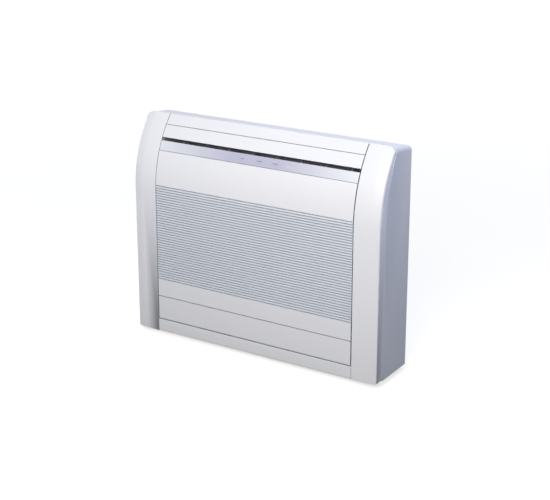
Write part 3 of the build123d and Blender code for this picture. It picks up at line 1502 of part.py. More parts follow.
# ---------------------------------------------------------------- controls behind the panel

SWITCH_LEFT = COIL_RIGHT + 24.0
SWITCH_RIGHT = COLUMN_IN - FIT
SWITCH_FRONT = FRONT_Y + 13.0
SWITCH_BACK = FRONT_Y + 38.0
SWITCH_LOW = ARC_Z - 104.0
SWITCH_HIGH = ARC_Z - 4.0
SWITCH_X = (SWITCH_LEFT + SWITCH_RIGHT) / 2
SWITCH_W = SWITCH_RIGHT - SWITCH_LEFT
SWITCH_H = SWITCH_HIGH - SWITCH_LOW
SWITCH_D = SWITCH_BACK - SWITCH_FRONT
SWITCH_MID = (SWITCH_X, (SWITCH_FRONT + SWITCH_BACK) / 2, (SWITCH_LOW + SWITCH_HIGH) / 2)
BUTTON_R = 4.0
BUTTON_Z = SWITCH_HIGH - 24.0
BUTTON_RIM = 1.5
BUTTON_PROUD = 3.0
BUTTON_GAP = 0.1
BUTTON_EDGE_R = 0.8
SLIDE_Z = SWITCH_LOW + 30.0
SLIDE_TRAVEL = 8.0
KNOB_W = 5.0
KNOB_H = 6.0
KNOB_PROUD = 2.5
KNOB_RIM_W = 3.0
KNOB_RIM_H = 5.0
RIM_BACK_T = 1.5  # plates behind the wall that keep the button and the knob in
SLIDE_GAP = 0.5
SWITCH_WALL = 2.0
SWITCH_EDGE_R = 1.2
SWITCH_FOOT_D = 6.0
SWITCH_FOOT_H = 40.0
SWITCH_FOOT_BACK = 5.0  # middle of the foot behind the part line
with BuildPart() as switch_panel:
    with Locations(SWITCH_MID):
        Box(SWITCH_W, SWITCH_D, SWITCH_H)
    front_rim = switch_panel.faces().sort_by(Axis.Y)[0].edges()
    fillet(front_rim, radius=SWITCH_EDGE_R)
    with Locations(SWITCH_MID):
        Box(
            SWITCH_W - 2 * SWITCH_WALL,
            SWITCH_D - 2 * SWITCH_WALL,
            SWITCH_H - 2 * SWITCH_WALL,
            mode=Mode.SUBTRACT,
        )
    with BuildSketch(Plane.XZ.offset(-(SWITCH_FRONT - OVERRUN))):
        with Locations((SWITCH_X, BUTTON_Z)):
            Circle(BUTTON_R + BUTTON_GAP)
        with Locations((SWITCH_X, SLIDE_Z + SLIDE_TRAVEL / 2)):
            Rectangle(KNOB_W + 2 * SLIDE_GAP, KNOB_H + SLIDE_TRAVEL + 2 * SLIDE_GAP)
    extrude(amount=-(SWITCH_WALL + 2 * OVERRUN), mode=Mode.SUBTRACT)
    # a foot reaches past the column's flange to the end plate
    foot_w = PLATE_IN - SWITCH_RIGHT + SINK
    with Locations((PLATE_IN - foot_w / 2, PART_Y + SWITCH_FOOT_BACK, SWITCH_MID[2])):
        Box(foot_w, SWITCH_FOOT_D, SWITCH_FOOT_H)
save(switch_panel.part, "switch_panel")

with BuildPart() as manual_button:
    with BuildSketch(Plane.XZ.offset(-(SWITCH_FRONT - BUTTON_PROUD))):
        with Locations((SWITCH_X, BUTTON_Z)):
            Circle(BUTTON_R)
    extrude(amount=-(BUTTON_PROUD + SWITCH_WALL + SINK))
    fillet(manual_button.faces().sort_by(Axis.Y)[0].edges(), radius=BUTTON_EDGE_R)
    with BuildSketch(Plane.XZ.offset(-(SWITCH_FRONT + SWITCH_WALL))):
        with Locations((SWITCH_X, BUTTON_Z)):
            Circle(BUTTON_R + BUTTON_RIM)
    extrude(amount=-RIM_BACK_T)
save(manual_button.part, "manual_button")

with BuildPart() as outlet_switch:
    with BuildSketch(Plane.XZ.offset(-(SWITCH_FRONT - KNOB_PROUD))):
        with Locations((SWITCH_X, SLIDE_Z)):
            Rectangle(KNOB_W, KNOB_H)
    extrude(amount=-(KNOB_PROUD + SWITCH_WALL + SINK))
    with BuildSketch(Plane.XZ.offset(-(SWITCH_FRONT + SWITCH_WALL))):
        with Locations((SWITCH_X, SLIDE_Z)):
            Rectangle(KNOB_W + 2 * KNOB_RIM_W, KNOB_H + 2 * KNOB_RIM_H)
    extrude(amount=-RIM_BACK_T)
save(outlet_switch.part, "outlet_switch")

SENSOR_Z = TUBE_Z + 1.5 * TUBE_PITCH
SENSOR_W = 4.0
SENSOR_D = 10.0
SENSOR_H = 9.0
SENSOR_TIP_R = 1.6
SENSOR_TIP_L = 3.0
SENSOR_X = COIL_RIGHT + COIL_PLATE_T + SENSOR_W / 2
with BuildPart() as room_sensor:
    with Locations((SENSOR_X, COIL_FRONT + SENSOR_D / 2, SENSOR_Z)):
        Box(SENSOR_W, SENSOR_D, SENSOR_H)
    with BuildSketch(Plane.XY.offset(SENSOR_Z + SENSOR_H / 2)):
        with Locations((SENSOR_X, COIL_FRONT + SENSOR_W / 2)):
            Circle(SENSOR_TIP_R)
    extrude(amount=SENSOR_TIP_L)
save(room_sensor.part, "room_sensor")


# ---------------------------------------------------------------- control box

BOX_IN = PLATE_OUT
BOX_OUT = HALF_W - 20.0
CTRL_FRONT = FRONT_Y + 55.0
CTRL_BACK = CASE_Y - 10.0
CTRL_LOW = 180.0
CTRL_HIGH = ARC_Z + 1.0
CTRL_MID = ((BOX_IN + BOX_OUT) / 2, (CTRL_FRONT + CTRL_BACK) / 2, (CTRL_LOW + CTRL_HIGH) / 2)
CTRL_D = CTRL_BACK - CTRL_FRONT
CTRL_H = CTRL_HIGH - CTRL_LOW
CTRL_WALL = 2.0
STANDOFF_H = 6.0
STANDOFF_IN = 10.0
STANDOFF_R = 3.0
PCB_T = 1.6
PCB_GAP = 5.0  # board to the box's outer sizes
CAPACITOR_R = 8.0
CAPACITOR_H = 22.0
CAPACITOR_PITCH = 28.0
with BuildPart() as control_box:
    with Locations(CTRL_MID):
        Box(BOX_OUT - BOX_IN, CTRL_D, CTRL_H)
    with Locations((CTRL_MID[0] + CTRL_WALL, CTRL_MID[1], CTRL_MID[2])):
        Box(
            BOX_OUT - BOX_IN,
            CTRL_D - 2 * CTRL_WALL,
            CTRL_H - 2 * CTRL_WALL,
            mode=Mode.SUBTRACT,
        )
    with BuildSketch(across(BOX_IN + CTRL_WALL)):
        with Locations((CTRL_MID[1], CTRL_MID[2])):
            with GridLocations(CTRL_D - 2 * STANDOFF_IN, CTRL_H - 2 * STANDOFF_IN, 2, 2):
                Circle(STANDOFF_R)
    extrude(amount=STANDOFF_H)
save(control_box.part, "control_box")

BOARD_X_LOW = BOX_IN + CTRL_WALL + STANDOFF_H
with BuildPart() as control_board:
    with BuildSketch(across(BOARD_X_LOW)):
        with Locations((CTRL_MID[1], CTRL_MID[2])):
            Rectangle(CTRL_D - 2 * PCB_GAP, CTRL_H - 2 * PCB_GAP)
    extrude(amount=PCB_T)
    # transformer, heat sink and two relays: place from the board's middle, depth,
    # height and how far each stands off the board
    for part_y, part_z, part_d, part_h, part_w in (
        (17.5, -52.0, 34.0, 40.0, 26.0),
        (-12.5, 48.0, 24.0, 60.0, 20.0),
        (27.5, 18.0, 14.0, 18.0, 14.0),
        (27.5, 43.0, 14.0, 18.0, 14.0),
    ):
        with BuildSketch(across(BOARD_X_LOW + PCB_T)):
            with Locations((CTRL_MID[1] + part_y, CTRL_MID[2] + part_z)):
                Rectangle(part_d, part_h)
        extrude(amount=part_w)
    with BuildSketch(across(BOARD_X_LOW + PCB_T)):
        with Locations((CTRL_MID[1] - 22.5, CTRL_MID[2] - 45.0)):
            with GridLocations(0, CAPACITOR_PITCH, 1, 3):
                Circle(CAPACITOR_R)
    extrude(amount=CAPACITOR_H)
save(control_board.part, "control_board")

with BuildPart() as control_box_cover:
    with BuildSketch(across(BOX_OUT)):
        with Locations((CTRL_MID[1], CTRL_MID[2])):
            Rectangle(CTRL_D, CTRL_H)
    extrude(amount=CTRL_WALL)
save(control_box_cover.part, "control_box_cover")

TERMINAL_POLES = 4
POLE_W = 12.0
TERMINAL_Y = FRONT_Y + 34.0
TERMINAL_Z = 235.0
TERMINAL_D = 26.0
TERMINAL_H = 18.0
TERMINAL_FLOOR = 8.0  # floor of the poles' bays
POLE_WALL = 3.0
POLE_SCREW_R = 3.0
POLE_SCREW_H = 3.0
POLE_SCREW_PITCH = 12.0
with BuildPart() as terminal_block:
    block_h = TERMINAL_POLES * POLE_W + POLE_WALL
    with BuildSketch(across(PLATE_OUT)):
        with Locations((TERMINAL_Y, TERMINAL_Z)):
            Rectangle(TERMINAL_D, block_h)
    extrude(amount=TERMINAL_H)
    with BuildSketch(across(PLATE_OUT + TERMINAL_FLOOR)):
        with Locations((TERMINAL_Y, TERMINAL_Z)):
            with GridLocations(0, POLE_W, 1, TERMINAL_POLES):
                Rectangle(TERMINAL_D + 2 * OVERRUN, POLE_W - POLE_WALL)
    extrude(amount=TERMINAL_H, mode=Mode.SUBTRACT)
    with BuildSketch(across(PLATE_OUT + TERMINAL_FLOOR - SINK)):
        with Locations((TERMINAL_Y, TERMINAL_Z)):
            with GridLocations(POLE_SCREW_PITCH, POLE_W, 2, TERMINAL_POLES):
                Circle(POLE_SCREW_R)
    extrude(amount=POLE_SCREW_H + SINK)
save(terminal_block.part, "terminal_block")

CLAMP_Z = 190.0
CABLE_R = 5.0
CLAMP_D = 30.0
CLAMP_H = 12.0
CLAMP_W = 14.0
with BuildPart() as cable_clamp:
    with BuildSketch(across(PLATE_OUT)):
        with Locations((TERMINAL_Y, CLAMP_Z)):
            Rectangle(CLAMP_D, CLAMP_H)
    extrude(amount=CLAMP_W)
    with BuildSketch(Plane.XY.offset(CLAMP_Z - CLAMP_H)):
        with Locations((PLATE_OUT + CLAMP_W / 2, TERMINAL_Y)):
            Circle(CABLE_R)
    extrude(amount=2 * CLAMP_H, mode=Mode.SUBTRACT)
save(cable_clamp.part, "cable_clamp")
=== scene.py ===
import json
import math

import bmesh
import bpy
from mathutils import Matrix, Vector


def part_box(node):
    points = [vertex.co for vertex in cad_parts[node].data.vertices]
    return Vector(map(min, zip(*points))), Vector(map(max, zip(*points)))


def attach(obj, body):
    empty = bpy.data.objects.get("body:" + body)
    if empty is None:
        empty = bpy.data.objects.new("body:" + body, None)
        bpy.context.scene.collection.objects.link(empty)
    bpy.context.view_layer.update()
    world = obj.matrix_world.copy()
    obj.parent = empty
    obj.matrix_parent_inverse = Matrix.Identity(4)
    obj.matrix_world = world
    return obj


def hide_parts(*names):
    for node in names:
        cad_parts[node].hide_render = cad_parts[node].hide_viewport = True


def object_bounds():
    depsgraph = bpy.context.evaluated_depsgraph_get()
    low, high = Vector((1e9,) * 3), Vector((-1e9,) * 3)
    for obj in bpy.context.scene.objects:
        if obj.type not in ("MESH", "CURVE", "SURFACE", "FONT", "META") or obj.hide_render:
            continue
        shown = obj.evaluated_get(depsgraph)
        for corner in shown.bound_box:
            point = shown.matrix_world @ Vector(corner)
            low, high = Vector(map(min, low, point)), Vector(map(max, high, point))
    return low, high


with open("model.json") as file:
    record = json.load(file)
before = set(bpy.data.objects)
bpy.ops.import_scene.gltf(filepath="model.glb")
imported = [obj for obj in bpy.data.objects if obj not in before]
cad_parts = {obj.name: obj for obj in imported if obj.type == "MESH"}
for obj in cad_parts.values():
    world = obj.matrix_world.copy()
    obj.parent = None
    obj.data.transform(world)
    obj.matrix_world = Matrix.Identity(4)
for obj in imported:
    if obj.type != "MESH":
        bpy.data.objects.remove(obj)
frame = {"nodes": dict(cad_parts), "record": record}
cad_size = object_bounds()


# ---------------------------------------------------------------- chassis
# The base pan is pressed from steel sheet and enamelled grey; its front edge is the strip
# under the casing, and its dark grey is partly painted shade for that strip. The back panel with
# its rim and the two end plates are moulded in pale grey plastic, 2.5 mm thick. The end plates
# carry both fans, the motors and the flaps.


def linear(hex_colour):
    """Linear RGBA of an sRGB hex colour."""
    values = [int(hex_colour[i : i + 2], 16) / 255 for i in (1, 3, 5)]
    return [v / 12.92 if v <= 0.04045 else ((v + 0.055) / 1.055) ** 2.4 for v in values] + [1.0]


def add_node(tree, kind, inputs=None, **settings):
    """Adds a node; an input is given a plain value or another node's output."""
    node = tree.nodes.new(kind)
    for name, value in settings.items():
        setattr(node, name, value)
    for name, value in (inputs or {}).items():
        if isinstance(value, bpy.types.NodeSocket):
            tree.links.new(value, node.inputs[name])
        else:
            node.inputs[name].default_value = value
    return node


def new_material(name):
    """An empty material, its node tree and its surface input."""
    material = bpy.data.materials.new(name)
    material.use_nodes = True
    tree = material.node_tree
    tree.nodes.clear()
    output = tree.nodes.new("ShaderNodeOutputMaterial")
    return material, tree, output.inputs["Surface"]


def baked(piece):
    """The piece with its modifiers' result as its plain mesh."""
    bpy.context.view_layer.update()
    graph = bpy.context.evaluated_depsgraph_get()
    mesh = bpy.data.meshes.new_from_object(piece.evaluated_get(graph))
    piece.modifiers.clear()
    piece.data = mesh
    return piece


record = frame["record"]
body_of = {n: b for b, nodes in record["behaviour"]["bodies"].items() for n in nodes}


def placed(piece, node, stands_in=True):
    """The piece moves with a node's body and can stand in for it."""
    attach(piece, body_of[node])
    if stands_in:
        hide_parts(node)
    return piece


def smooth_shaded(mesh, angle=30.0):
    """Smooth faces that stay sharp where they meet at more than the angle in degrees."""
    mesh.polygons.foreach_set("use_smooth", [True] * len(mesh.polygons))
    mesh.set_sharp_from_angle(angle=math.radians(angle))


MERGE_REACH = 0.000001
EDGE_STEPS = 2
EDGE_ANGLE = math.radians(32)  # edges that turn by less aren't rounded


def dressed(node, material, edge=0.0004, flat=0.5, crease=30.0):
    """A merged copy of a node with a finish, in the node's place.

    Its edges are rounded by edge, faces that meet at less than flat degrees become one,
    and the shading breaks where they meet at more than crease degrees.
    """
    mesh = frame["nodes"][node].data.copy()
    form = bmesh.new()
    form.from_mesh(mesh)
    bmesh.ops.remove_doubles(form, verts=form.verts, dist=MERGE_REACH)
    bmesh.ops.dissolve_limit(
        form, angle_limit=math.radians(flat), verts=form.verts, edges=form.edges
    )
    form.to_mesh(mesh)
    form.free()
    mesh.materials.clear()
    mesh.materials.append(material)
    smooth_shaded(mesh, crease)
    piece = bpy.data.objects.new(f"{node}_finished", mesh)
    bpy.context.collection.objects.link(piece)
    if edge:
        rounding = piece.modifiers.new("edge", "BEVEL")
        rounding.width = edge
        rounding.segments = EDGE_STEPS
        rounding.angle_limit = EDGE_ANGLE
        rounding.use_clamp_overlap = False
        rounding.harden_normals = True
        baked(piece)
    return placed(piece, node)


DRIFT_MM = 90
GLOSS_DRIFT = 0.04
# a colour Mix node shares its sockets' names with other kinds, so these go by number
MIX_FIRST = 6
MIX_SECOND = 7
MIX_RESULT = 2


def moulding(name, colour, roughness, grain_mm, depth_mm, shade=0.94):
    """Moulded, painted or enamelled skin; its grain has a width and a depth in millimetres.

    Its tone wanders over a hand's width between the colour and shade times the colour.
    """
    material, tree, surface = new_material(name)
    place = add_node(tree, "ShaderNodeTexCoord").outputs["Object"]
    grain = add_node(
        tree, "ShaderNodeTexNoise", {"Vector": place, "Scale": 1000 / grain_mm, "Detail": 2.0}
    )
    drift = add_node(
        tree, "ShaderNodeTexNoise", {"Vector": place, "Scale": 1000 / DRIFT_MM, "Detail": 1.0}
    )
    full = linear(colour)
    shaded = [value * shade for value in full[:3]] + [1.0]
    tone = add_node(
        tree,
        "ShaderNodeMix",
        {"Factor": drift.outputs["Fac"], MIX_FIRST: full, MIX_SECOND: shaded},
        data_type="RGBA",
    )
    gloss = add_node(
        tree,
        "ShaderNodeMapRange",
        {
            "Value": drift.outputs["Fac"],
            "To Min": roughness - GLOSS_DRIFT,
            "To Max": roughness + GLOSS_DRIFT,
        },
    )
    bump = add_node(
        tree,
        "ShaderNodeBump",
        {
            "Height": grain.outputs["Fac"],
            "Distance": depth_mm / 1000,
            "Strength": 0.4,
        },
    )
    shader = add_node(
        tree,
        "ShaderNodeBsdfPrincipled",
        {
            "Base Color": tone.outputs[MIX_RESULT],
            "Roughness": gloss.outputs["Result"],
            "Normal": bump.outputs["Normal"],
        },
    )
    tree.links.new(shader.outputs["BSDF"], surface)
    return material


# grey stove enamel over sheet steel: half matt, with a slight orange peel; its dark grey is partly
# painted shade for the strip under the casing
pan_enamel_and_shade = moulding("base_grey_enamel_and_shade", "#6a6d79", roughness=0.5, grain_mm=1.5, depth_mm=0.01)
dressed("base_pan", pan_enamel_and_shade, edge=0.0003)
# pale grey moulded plastic, dull, with a coarse spark-eroded grain
chassis_plastic = moulding(
    "chassis_grey_plastic",
    "#cdd0d4",
    roughness=0.55,
    grain_mm=1.2,
    depth_mm=0.03,
)
# the wide flat wall keeps its own shading right up to the rounded rim
dressed("back_panel", chassis_plastic, crease=4.0)
for node in ("left_end_plate", "right_end_plate"):
    dressed(node, chassis_plastic)


# ---------------------------------------------------------------- chassis screws
# Six countersunk tapping screws of zinc plated steel, 7.4 mm over the head, hold the back
# panel to the end plates. Each has a cross recess.


def new_piece(name, points, faces):
    """A piece from vertices and faces, with its faces turned outwards."""
    mesh = bpy.data.meshes.new(name)
    mesh.from_pydata(points, [], faces)
    form = bmesh.new()
    form.from_mesh(mesh)
    bmesh.ops.recalc_face_normals(form, faces=form.faces)
    form.to_mesh(mesh)
    form.free()
    piece = bpy.data.objects.new(name, mesh)
    bpy.context.collection.objects.link(piece)
    return piece


def extruded(name, outline, start, along):
    """A closed outline of 3-D points, moved by start, drawn out by a vector."""
    count = len(outline)
    low = [tuple(p[i] + start[i] for i in range(3)) for p in outline]
    high = [tuple(p[i] + along[i] for i in range(3)) for p in low]
    sides = [(i, (i + 1) % count, (i + 1) % count + count, i + count) for i in range(count)]
    ends = [tuple(range(count)), tuple(range(2 * count - 1, count - 1, -1))]
    return new_piece(name, low + high, sides + ends)


def turned(name, profile, centre, axis="X", steps=48):
    """A body of revolution from (along, radius) points, about an axis through centre."""
    points, faces = [], []
    for along, radius in profile:
        for step in range(steps):
            angle = 2 * math.pi * step / steps
            u, v = radius * math.cos(angle), radius * math.sin(angle)
            spot = {"X": (along, u, v), "Y": (u, along, v), "Z": (u, v, along)}[axis]
            points.append(tuple(spot[i] + centre[i] for i in range(3)))
    for ring in range(len(profile) - 1):
        for step in range(steps):
            after = (step + 1) % steps
            low, high = ring * steps, (ring + 1) * steps
            faces.append((low + step, low + after, high + after, high + step))
    faces.append(tuple(range(steps)))
    faces.append(tuple(range((len(profile) - 1) * steps, len(profile) * steps)))
    return new_piece(name, points, faces)


def carved(piece, tool):
    """The piece with a tool's shape taken away; the tool is deleted."""
    cut = piece.modifiers.new("cut", "BOOLEAN")
    cut.operation = "DIFFERENCE"
    cut.object = tool
    cut.solver = "EXACT"
    baked(piece)
    bpy.data.objects.remove(tool)
    return piece


def copies_tree():
    """Geometry nodes that repeat a shape along a line, each copy turned a step further."""
    tree = bpy.data.node_groups.new("copies_in_step", "GeometryNodeTree")
    for name, kind in (
        ("Geometry", "Geometry"),
        ("Count", "Int"),
        ("Start", "Vector"),
        ("Step", "Vector"),
        ("Turn", "Vector"),
        ("Finish", "Material"),
    ):
        tree.interface.new_socket(name, in_out="INPUT", socket_type=f"NodeSocket{kind}")
    tree.interface.new_socket("Geometry", in_out="OUTPUT", socket_type="NodeSocketGeometry")
    given = tree.nodes.new("NodeGroupInput").outputs
    line = add_node(
        tree,
        "GeometryNodeMeshLine",
        {"Count": given["Count"], "Start Location": given["Start"], "Offset": given["Step"]},
        mode="OFFSET",
    )
    index = add_node(tree, "GeometryNodeInputIndex")
    turn = add_node(
        tree,
        "ShaderNodeVectorMath",
        {"Vector": given["Turn"], "Scale": index.outputs["Index"]},
        operation="SCALE",
    )
    copies = add_node(
        tree,
        "GeometryNodeInstanceOnPoints",
        {
            "Points": line.outputs["Mesh"],
            "Instance": given["Geometry"],
            "Rotation": turn.outputs["Vector"],
        },
    )
    whole = add_node(
        tree, "GeometryNodeRealizeInstances", {"Geometry": copies.outputs["Instances"]}
    )
    painted = add_node(
        tree,
        "GeometryNodeSetMaterial",
        {"Geometry": whole.outputs["Geometry"], "Material": given["Finish"]},
    )
    out = tree.nodes.new("NodeGroupOutput")
    tree.links.new(painted.outputs["Geometry"], out.inputs["Geometry"])
    return tree


copies_in_step = copies_tree()


def repeated(piece, count, start, step, material, turn=(0.0, 0.0, 0.0)):
    """The piece repeated from start in equal steps, as one plain mesh."""
    modifier = piece.modifiers.new("copies", "NODES")
    modifier.node_group = copies_in_step
    values = {"Count": count, "Start": start, "Step": step, "Turn": turn, "Finish": material}
    for item in copies_in_step.interface.items_tree:
        if item.in_out == "INPUT" and item.name in values:
            modifier[item.identifier] = values[item.name]
    return baked(piece)


def joined(name, pieces):
    """Several pieces as one object."""
    form = bmesh.new()
    materials = []
    for piece in pieces:
        first = len(form.faces)
        form.from_mesh(piece.data)
        form.faces.ensure_lookup_table()
        if piece.data.materials[0] not in materials:
            materials.append(piece.data.materials[0])
        for face in form.faces[first:]:
            face.material_index = materials.index(piece.data.materials[0])
    mesh = bpy.data.meshes.new(name)
    form.to_mesh(mesh)
    form.free()
    for material in materials:
        mesh.materials.append(material)
    for piece in pieces:
        bpy.data.objects.remove(piece)
    whole = bpy.data.objects.new(name, mesh)
    bpy.context.collection.objects.link(whole)
    return whole


METAL_GLOSS_DRIFT = 0.08


def metal(name, colour, worn, roughness, speck_mm):
    """Bare metal: its tone and gloss wander a little between bright and worn."""
    material, tree, surface = new_material(name)
    place = add_node(tree, "ShaderNodeTexCoord").outputs["Object"]
    patches = add_node(
        tree, "ShaderNodeTexNoise", {"Vector": place, "Scale": 1000 / speck_mm, "Detail": 4.0}
    )
    tone = add_node(
        tree,
        "ShaderNodeMix",
        {
            "Factor": patches.outputs["Fac"],
            MIX_FIRST: linear(colour),
            MIX_SECOND: linear(worn),
        },
        data_type="RGBA",
    )
    gloss = add_node(
        tree,
        "ShaderNodeMapRange",
        {
            "Value": patches.outputs["Fac"],
            "To Min": roughness - METAL_GLOSS_DRIFT,
            "To Max": roughness + METAL_GLOSS_DRIFT,
        },
    )
    shader = add_node(
        tree,
        "ShaderNodeBsdfPrincipled",
        {
            "Base Color": tone.outputs[MIX_RESULT],
            "Metallic": 1.0,
            "Roughness": gloss.outputs["Result"],
        },
    )
    tree.links.new(shader.outputs["BSDF"], surface)
    return material


# bright zinc plating, a little clouded
screw_zinc = metal("zinc_plated_screw", "#c8cacd", "#a9adb3", roughness=0.32, speck_mm=3.0)
SCREW_HEAD_R = 0.0037
SCREW_HEAD_H = 0.0021
SCREW_HEAD_EDGE = 0.0002
SCREW_SHANK_R = 0.0019
SCREW_TIP_R = 0.0004
SCREW_TIP_L = 0.002
SCREW_STEPS = 32
SCREWS_A_SIDE = 3
RECESS_W = 0.0010
RECESS_L = 0.0046
RECESS_H = 0.0014
screws_low, screws_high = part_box("case_screws")
screw_length = screws_high[1] - screws_low[1]
screw_x = screws_high[0] - SCREW_HEAD_R
screw_z = screws_low[2] + SCREW_HEAD_R
screw_rise = (screws_high[2] - screws_low[2] - 2 * SCREW_HEAD_R) / (SCREWS_A_SIDE - 1)
screws = []
for side in (-1, 1):
    head = turned(
        "screw",
        [
            (0.0, SCREW_HEAD_R - SCREW_HEAD_EDGE),
            (-SCREW_HEAD_EDGE, SCREW_HEAD_R),
            (-SCREW_HEAD_H, SCREW_SHANK_R),
            (-screw_length + SCREW_TIP_L, SCREW_SHANK_R),
            (-screw_length, SCREW_TIP_R),
        ],
        (0, 0, 0),
        axis="Y",
        steps=SCREW_STEPS,
    )
    for width, length in ((RECESS_W, RECESS_L), (RECESS_L, RECESS_W)):
        recess = extruded(
            "recess",
            [
                (-width / 2, 0, -length / 2),
                (width / 2, 0, -length / 2),
                (width / 2, 0, length / 2),
                (-width / 2, 0, length / 2),
            ],
            (0, -RECESS_H, 0),
            (0, 2 * RECESS_H, 0),
        )
        carved(head, recess)
    screws.append(
        repeated(
            head,
            SCREWS_A_SIDE,
            (side * screw_x, screws_high[1], screw_z),
            (0, 0, screw_rise),
            screw_zinc,
        )
    )
case_screws = joined("case_screws_cross", screws)
smooth_shaded(case_screws.data)
placed(case_screws, "case_screws")


# ---------------------------------------------------------------- air ducts
# The two scrolls and the two stabilisers guide the air round the fans. They are moulded
# in pale grey plastic, 2.5 mm thick, and matt, so that the outlets don't shine.

# pale lilac-grey moulded plastic, matt, with a spark-eroded grain
duct_plastic = moulding(
    "duct_grey_plastic",
    "#cdcfe0",
    roughness=0.62,
    grain_mm=0.8,
    depth_mm=0.03,
)
for node in ("upper_scroll", "upper_stabiliser", "lower_scroll", "lower_stabiliser"):
    dressed(node, duct_plastic)


# ---------------------------------------------------------------- fans
# Two cross-flow wheels of slate grey glass-filled plastic: thirty curved blades between thin
# discs, welded section by section, each section turned a little so that they run quietly.
# Steel shaft ends run in a rubber bush on the left and in the motor on the right.

# slate grey glass-filled plastic, dull from the fibres near its skin
fan_slate = moulding("fan_slate_plastic", "#555768", roughness=0.5, grain_mm=0.6, depth_mm=0.02)
# ground steel, bright
shaft_steel = metal("ground_shaft_steel", "#b9bcc1", "#8f949b", roughness=0.28, speck_mm=2.0)
BLADE_COUNT = 30
BLADE_IN_R = 0.0318
BLADE_OUT_R = 0.0414
BLADE_THICK = 0.0011
BLADE_THINNING = 0.55  # share of the thickness that is lost towards both edges
BLADE_SWEEP = math.radians(17)
BLADE_HOOK = 1.6  # above 1 the blade curves most at its outer edge
BLADE_STEPS = 6
DISC_COUNT = 9
DISC_THICK = 0.0025
DISC_STEPS = 72
WHEEL_END_GAP = 0.015  # from the wheel to the end plates
WHEEL_CREASE = 35
FAN_R = 0.042
SHAFT_R = 0.004
SHAFT_EDGE = 0.0005
SHAFT_STEPS = 32
SKEW = math.radians(4)  # from each section of blades to the next
wheel_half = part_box("right_end_plate")[0][0] - WHEEL_END_GAP
disc_pitch = (2 * wheel_half - DISC_THICK) / (DISC_COUNT - 1)
for node in ("upper_fan", "lower_fan"):
    shaft_low, shaft_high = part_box(node)
    axis_y = (shaft_low[1] + shaft_high[1]) / 2
    axis_z = (shaft_low[2] + shaft_high[2]) / 2
    outer, inner = [], []
    for step in range(BLADE_STEPS + 1):
        share = step / BLADE_STEPS
        radius = BLADE_IN_R + (BLADE_OUT_R - BLADE_IN_R) * share
        angle = BLADE_SWEEP * share**BLADE_HOOK
        half = BLADE_THICK / 2 * (1 - BLADE_THINNING * abs(2 * share - 1)) / radius
        outer.append((0, radius * math.cos(angle + half), radius * math.sin(angle + half)))
        inner.append((0, radius * math.cos(angle - half), radius * math.sin(angle - half)))
    blade = extruded("blade", outer + inner[::-1], (0, 0, 0), (disc_pitch, 0, 0))
    ring = repeated(
        blade,
        BLADE_COUNT,
        (0, 0, 0),
        (0, 0, 0),
        fan_slate,
        turn=(2 * math.pi / BLADE_COUNT, 0, 0),
    )
    blades = repeated(
        ring,
        DISC_COUNT - 1,
        (-wheel_half + DISC_THICK / 2, axis_y, axis_z),
        (disc_pitch, 0, 0),
        fan_slate,
        turn=(SKEW, 0, 0),
    )
    rim = turned("disc", [(0, FAN_R), (DISC_THICK, FAN_R)], (0, 0, 0), steps=DISC_STEPS)
    discs = repeated(
        rim,
        DISC_COUNT,
        (-wheel_half, axis_y, axis_z),
        (disc_pitch, 0, 0),
        fan_slate,
    )
    shafts = []
    for start, end in ((shaft_low[0], -wheel_half), (wheel_half, shaft_high[0])):
        shaft = turned(
            "shaft",
            [
                (start, SHAFT_R - SHAFT_EDGE),
                (start + SHAFT_EDGE, SHAFT_R),
                (end - SHAFT_EDGE, SHAFT_R),
                (end, SHAFT_R - SHAFT_EDGE),
            ],
            (0, axis_y, axis_z),
            steps=SHAFT_STEPS,
        )
        shaft.data.materials.append(shaft_steel)
        shafts.append(shaft)
    wheel = joined(f"{node}_wheel", [blades, discs] + shafts)
    smooth_shaded(wheel.data, WHEEL_CREASE)
    placed(wheel, node)


# ---------------------------------------------------------------- motors, straps and bushes
# Two closed fan motors in painted steel cans and two small stepper motors for the flaps,
# all on the right end plate. Straps of zinc coated sheet hold the fan motors, and the
# fans' left ends run in rubber bushes.


def zinc_sheet(name, light, dark, crystal_mm):
    """Hot dipped sheet: flat crystals that differ a little in brightness and gloss."""
    material, tree, surface = new_material(name)
    place = add_node(tree, "ShaderNodeTexCoord").outputs["Object"]
    crystals = add_node(
        tree, "ShaderNodeTexVoronoi", {"Vector": place, "Scale": 1000 / crystal_mm}
    )
    grey = add_node(tree, "ShaderNodeSeparateColor", {"Color": crystals.outputs["Color"]})
    tone = add_node(
        tree,
        "ShaderNodeMix",
        {"Factor": grey.outputs["Red"], MIX_FIRST: linear(light), MIX_SECOND: linear(dark)},
        data_type="RGBA",
    )
    gloss = add_node(
        tree,
        "ShaderNodeMapRange",
        {"Value": grey.outputs["Green"], "To Min": 0.38, "To Max": 0.55},
    )
    shader = add_node(
        tree,
        "ShaderNodeBsdfPrincipled",
        {
            "Base Color": tone.outputs[MIX_RESULT],
            "Metallic": 0.85,
            "Roughness": gloss.outputs["Result"],
        },
    )
    tree.links.new(shader.outputs["BSDF"], surface)
    return material


# grey stove enamel on the motor cans, half glossy
motor_enamel = moulding(
    "motor_grey_enamel",
    "#6d7178",
    roughness=0.38,
    grain_mm=1.5,
    depth_mm=0.01,
)
# black rubber, matt
bush_rubber = moulding("bush_black_rubber", "#1c1c1e", roughness=0.75, grain_mm=1.0, depth_mm=0.03)
for node in ("upper_fan_motor", "lower_fan_motor", "upper_flap_motor", "lower_flap_motor"):
    dressed(node, motor_enamel, edge=0.0003)
dressed("fan_bushes", bush_rubber, edge=0.0003)
# hot dipped zinc: pale crystals of about 9 mm, some brighter than others
zinc_steel = zinc_sheet("zinc_coated_steel", "#c9cdd0", "#a9aeb3", crystal_mm=9.0)
dressed("motor_straps", zinc_steel, edge=0.0003)


# ---------------------------------------------------------------- heat exchanger
# Thin aluminium fins are pressed onto two rows of fourteen copper tubes, between two end
# plates of zinc coated sheet. Return bends join the tubes at both ends, and two pipes run
# down to brass flare nuts on the left.

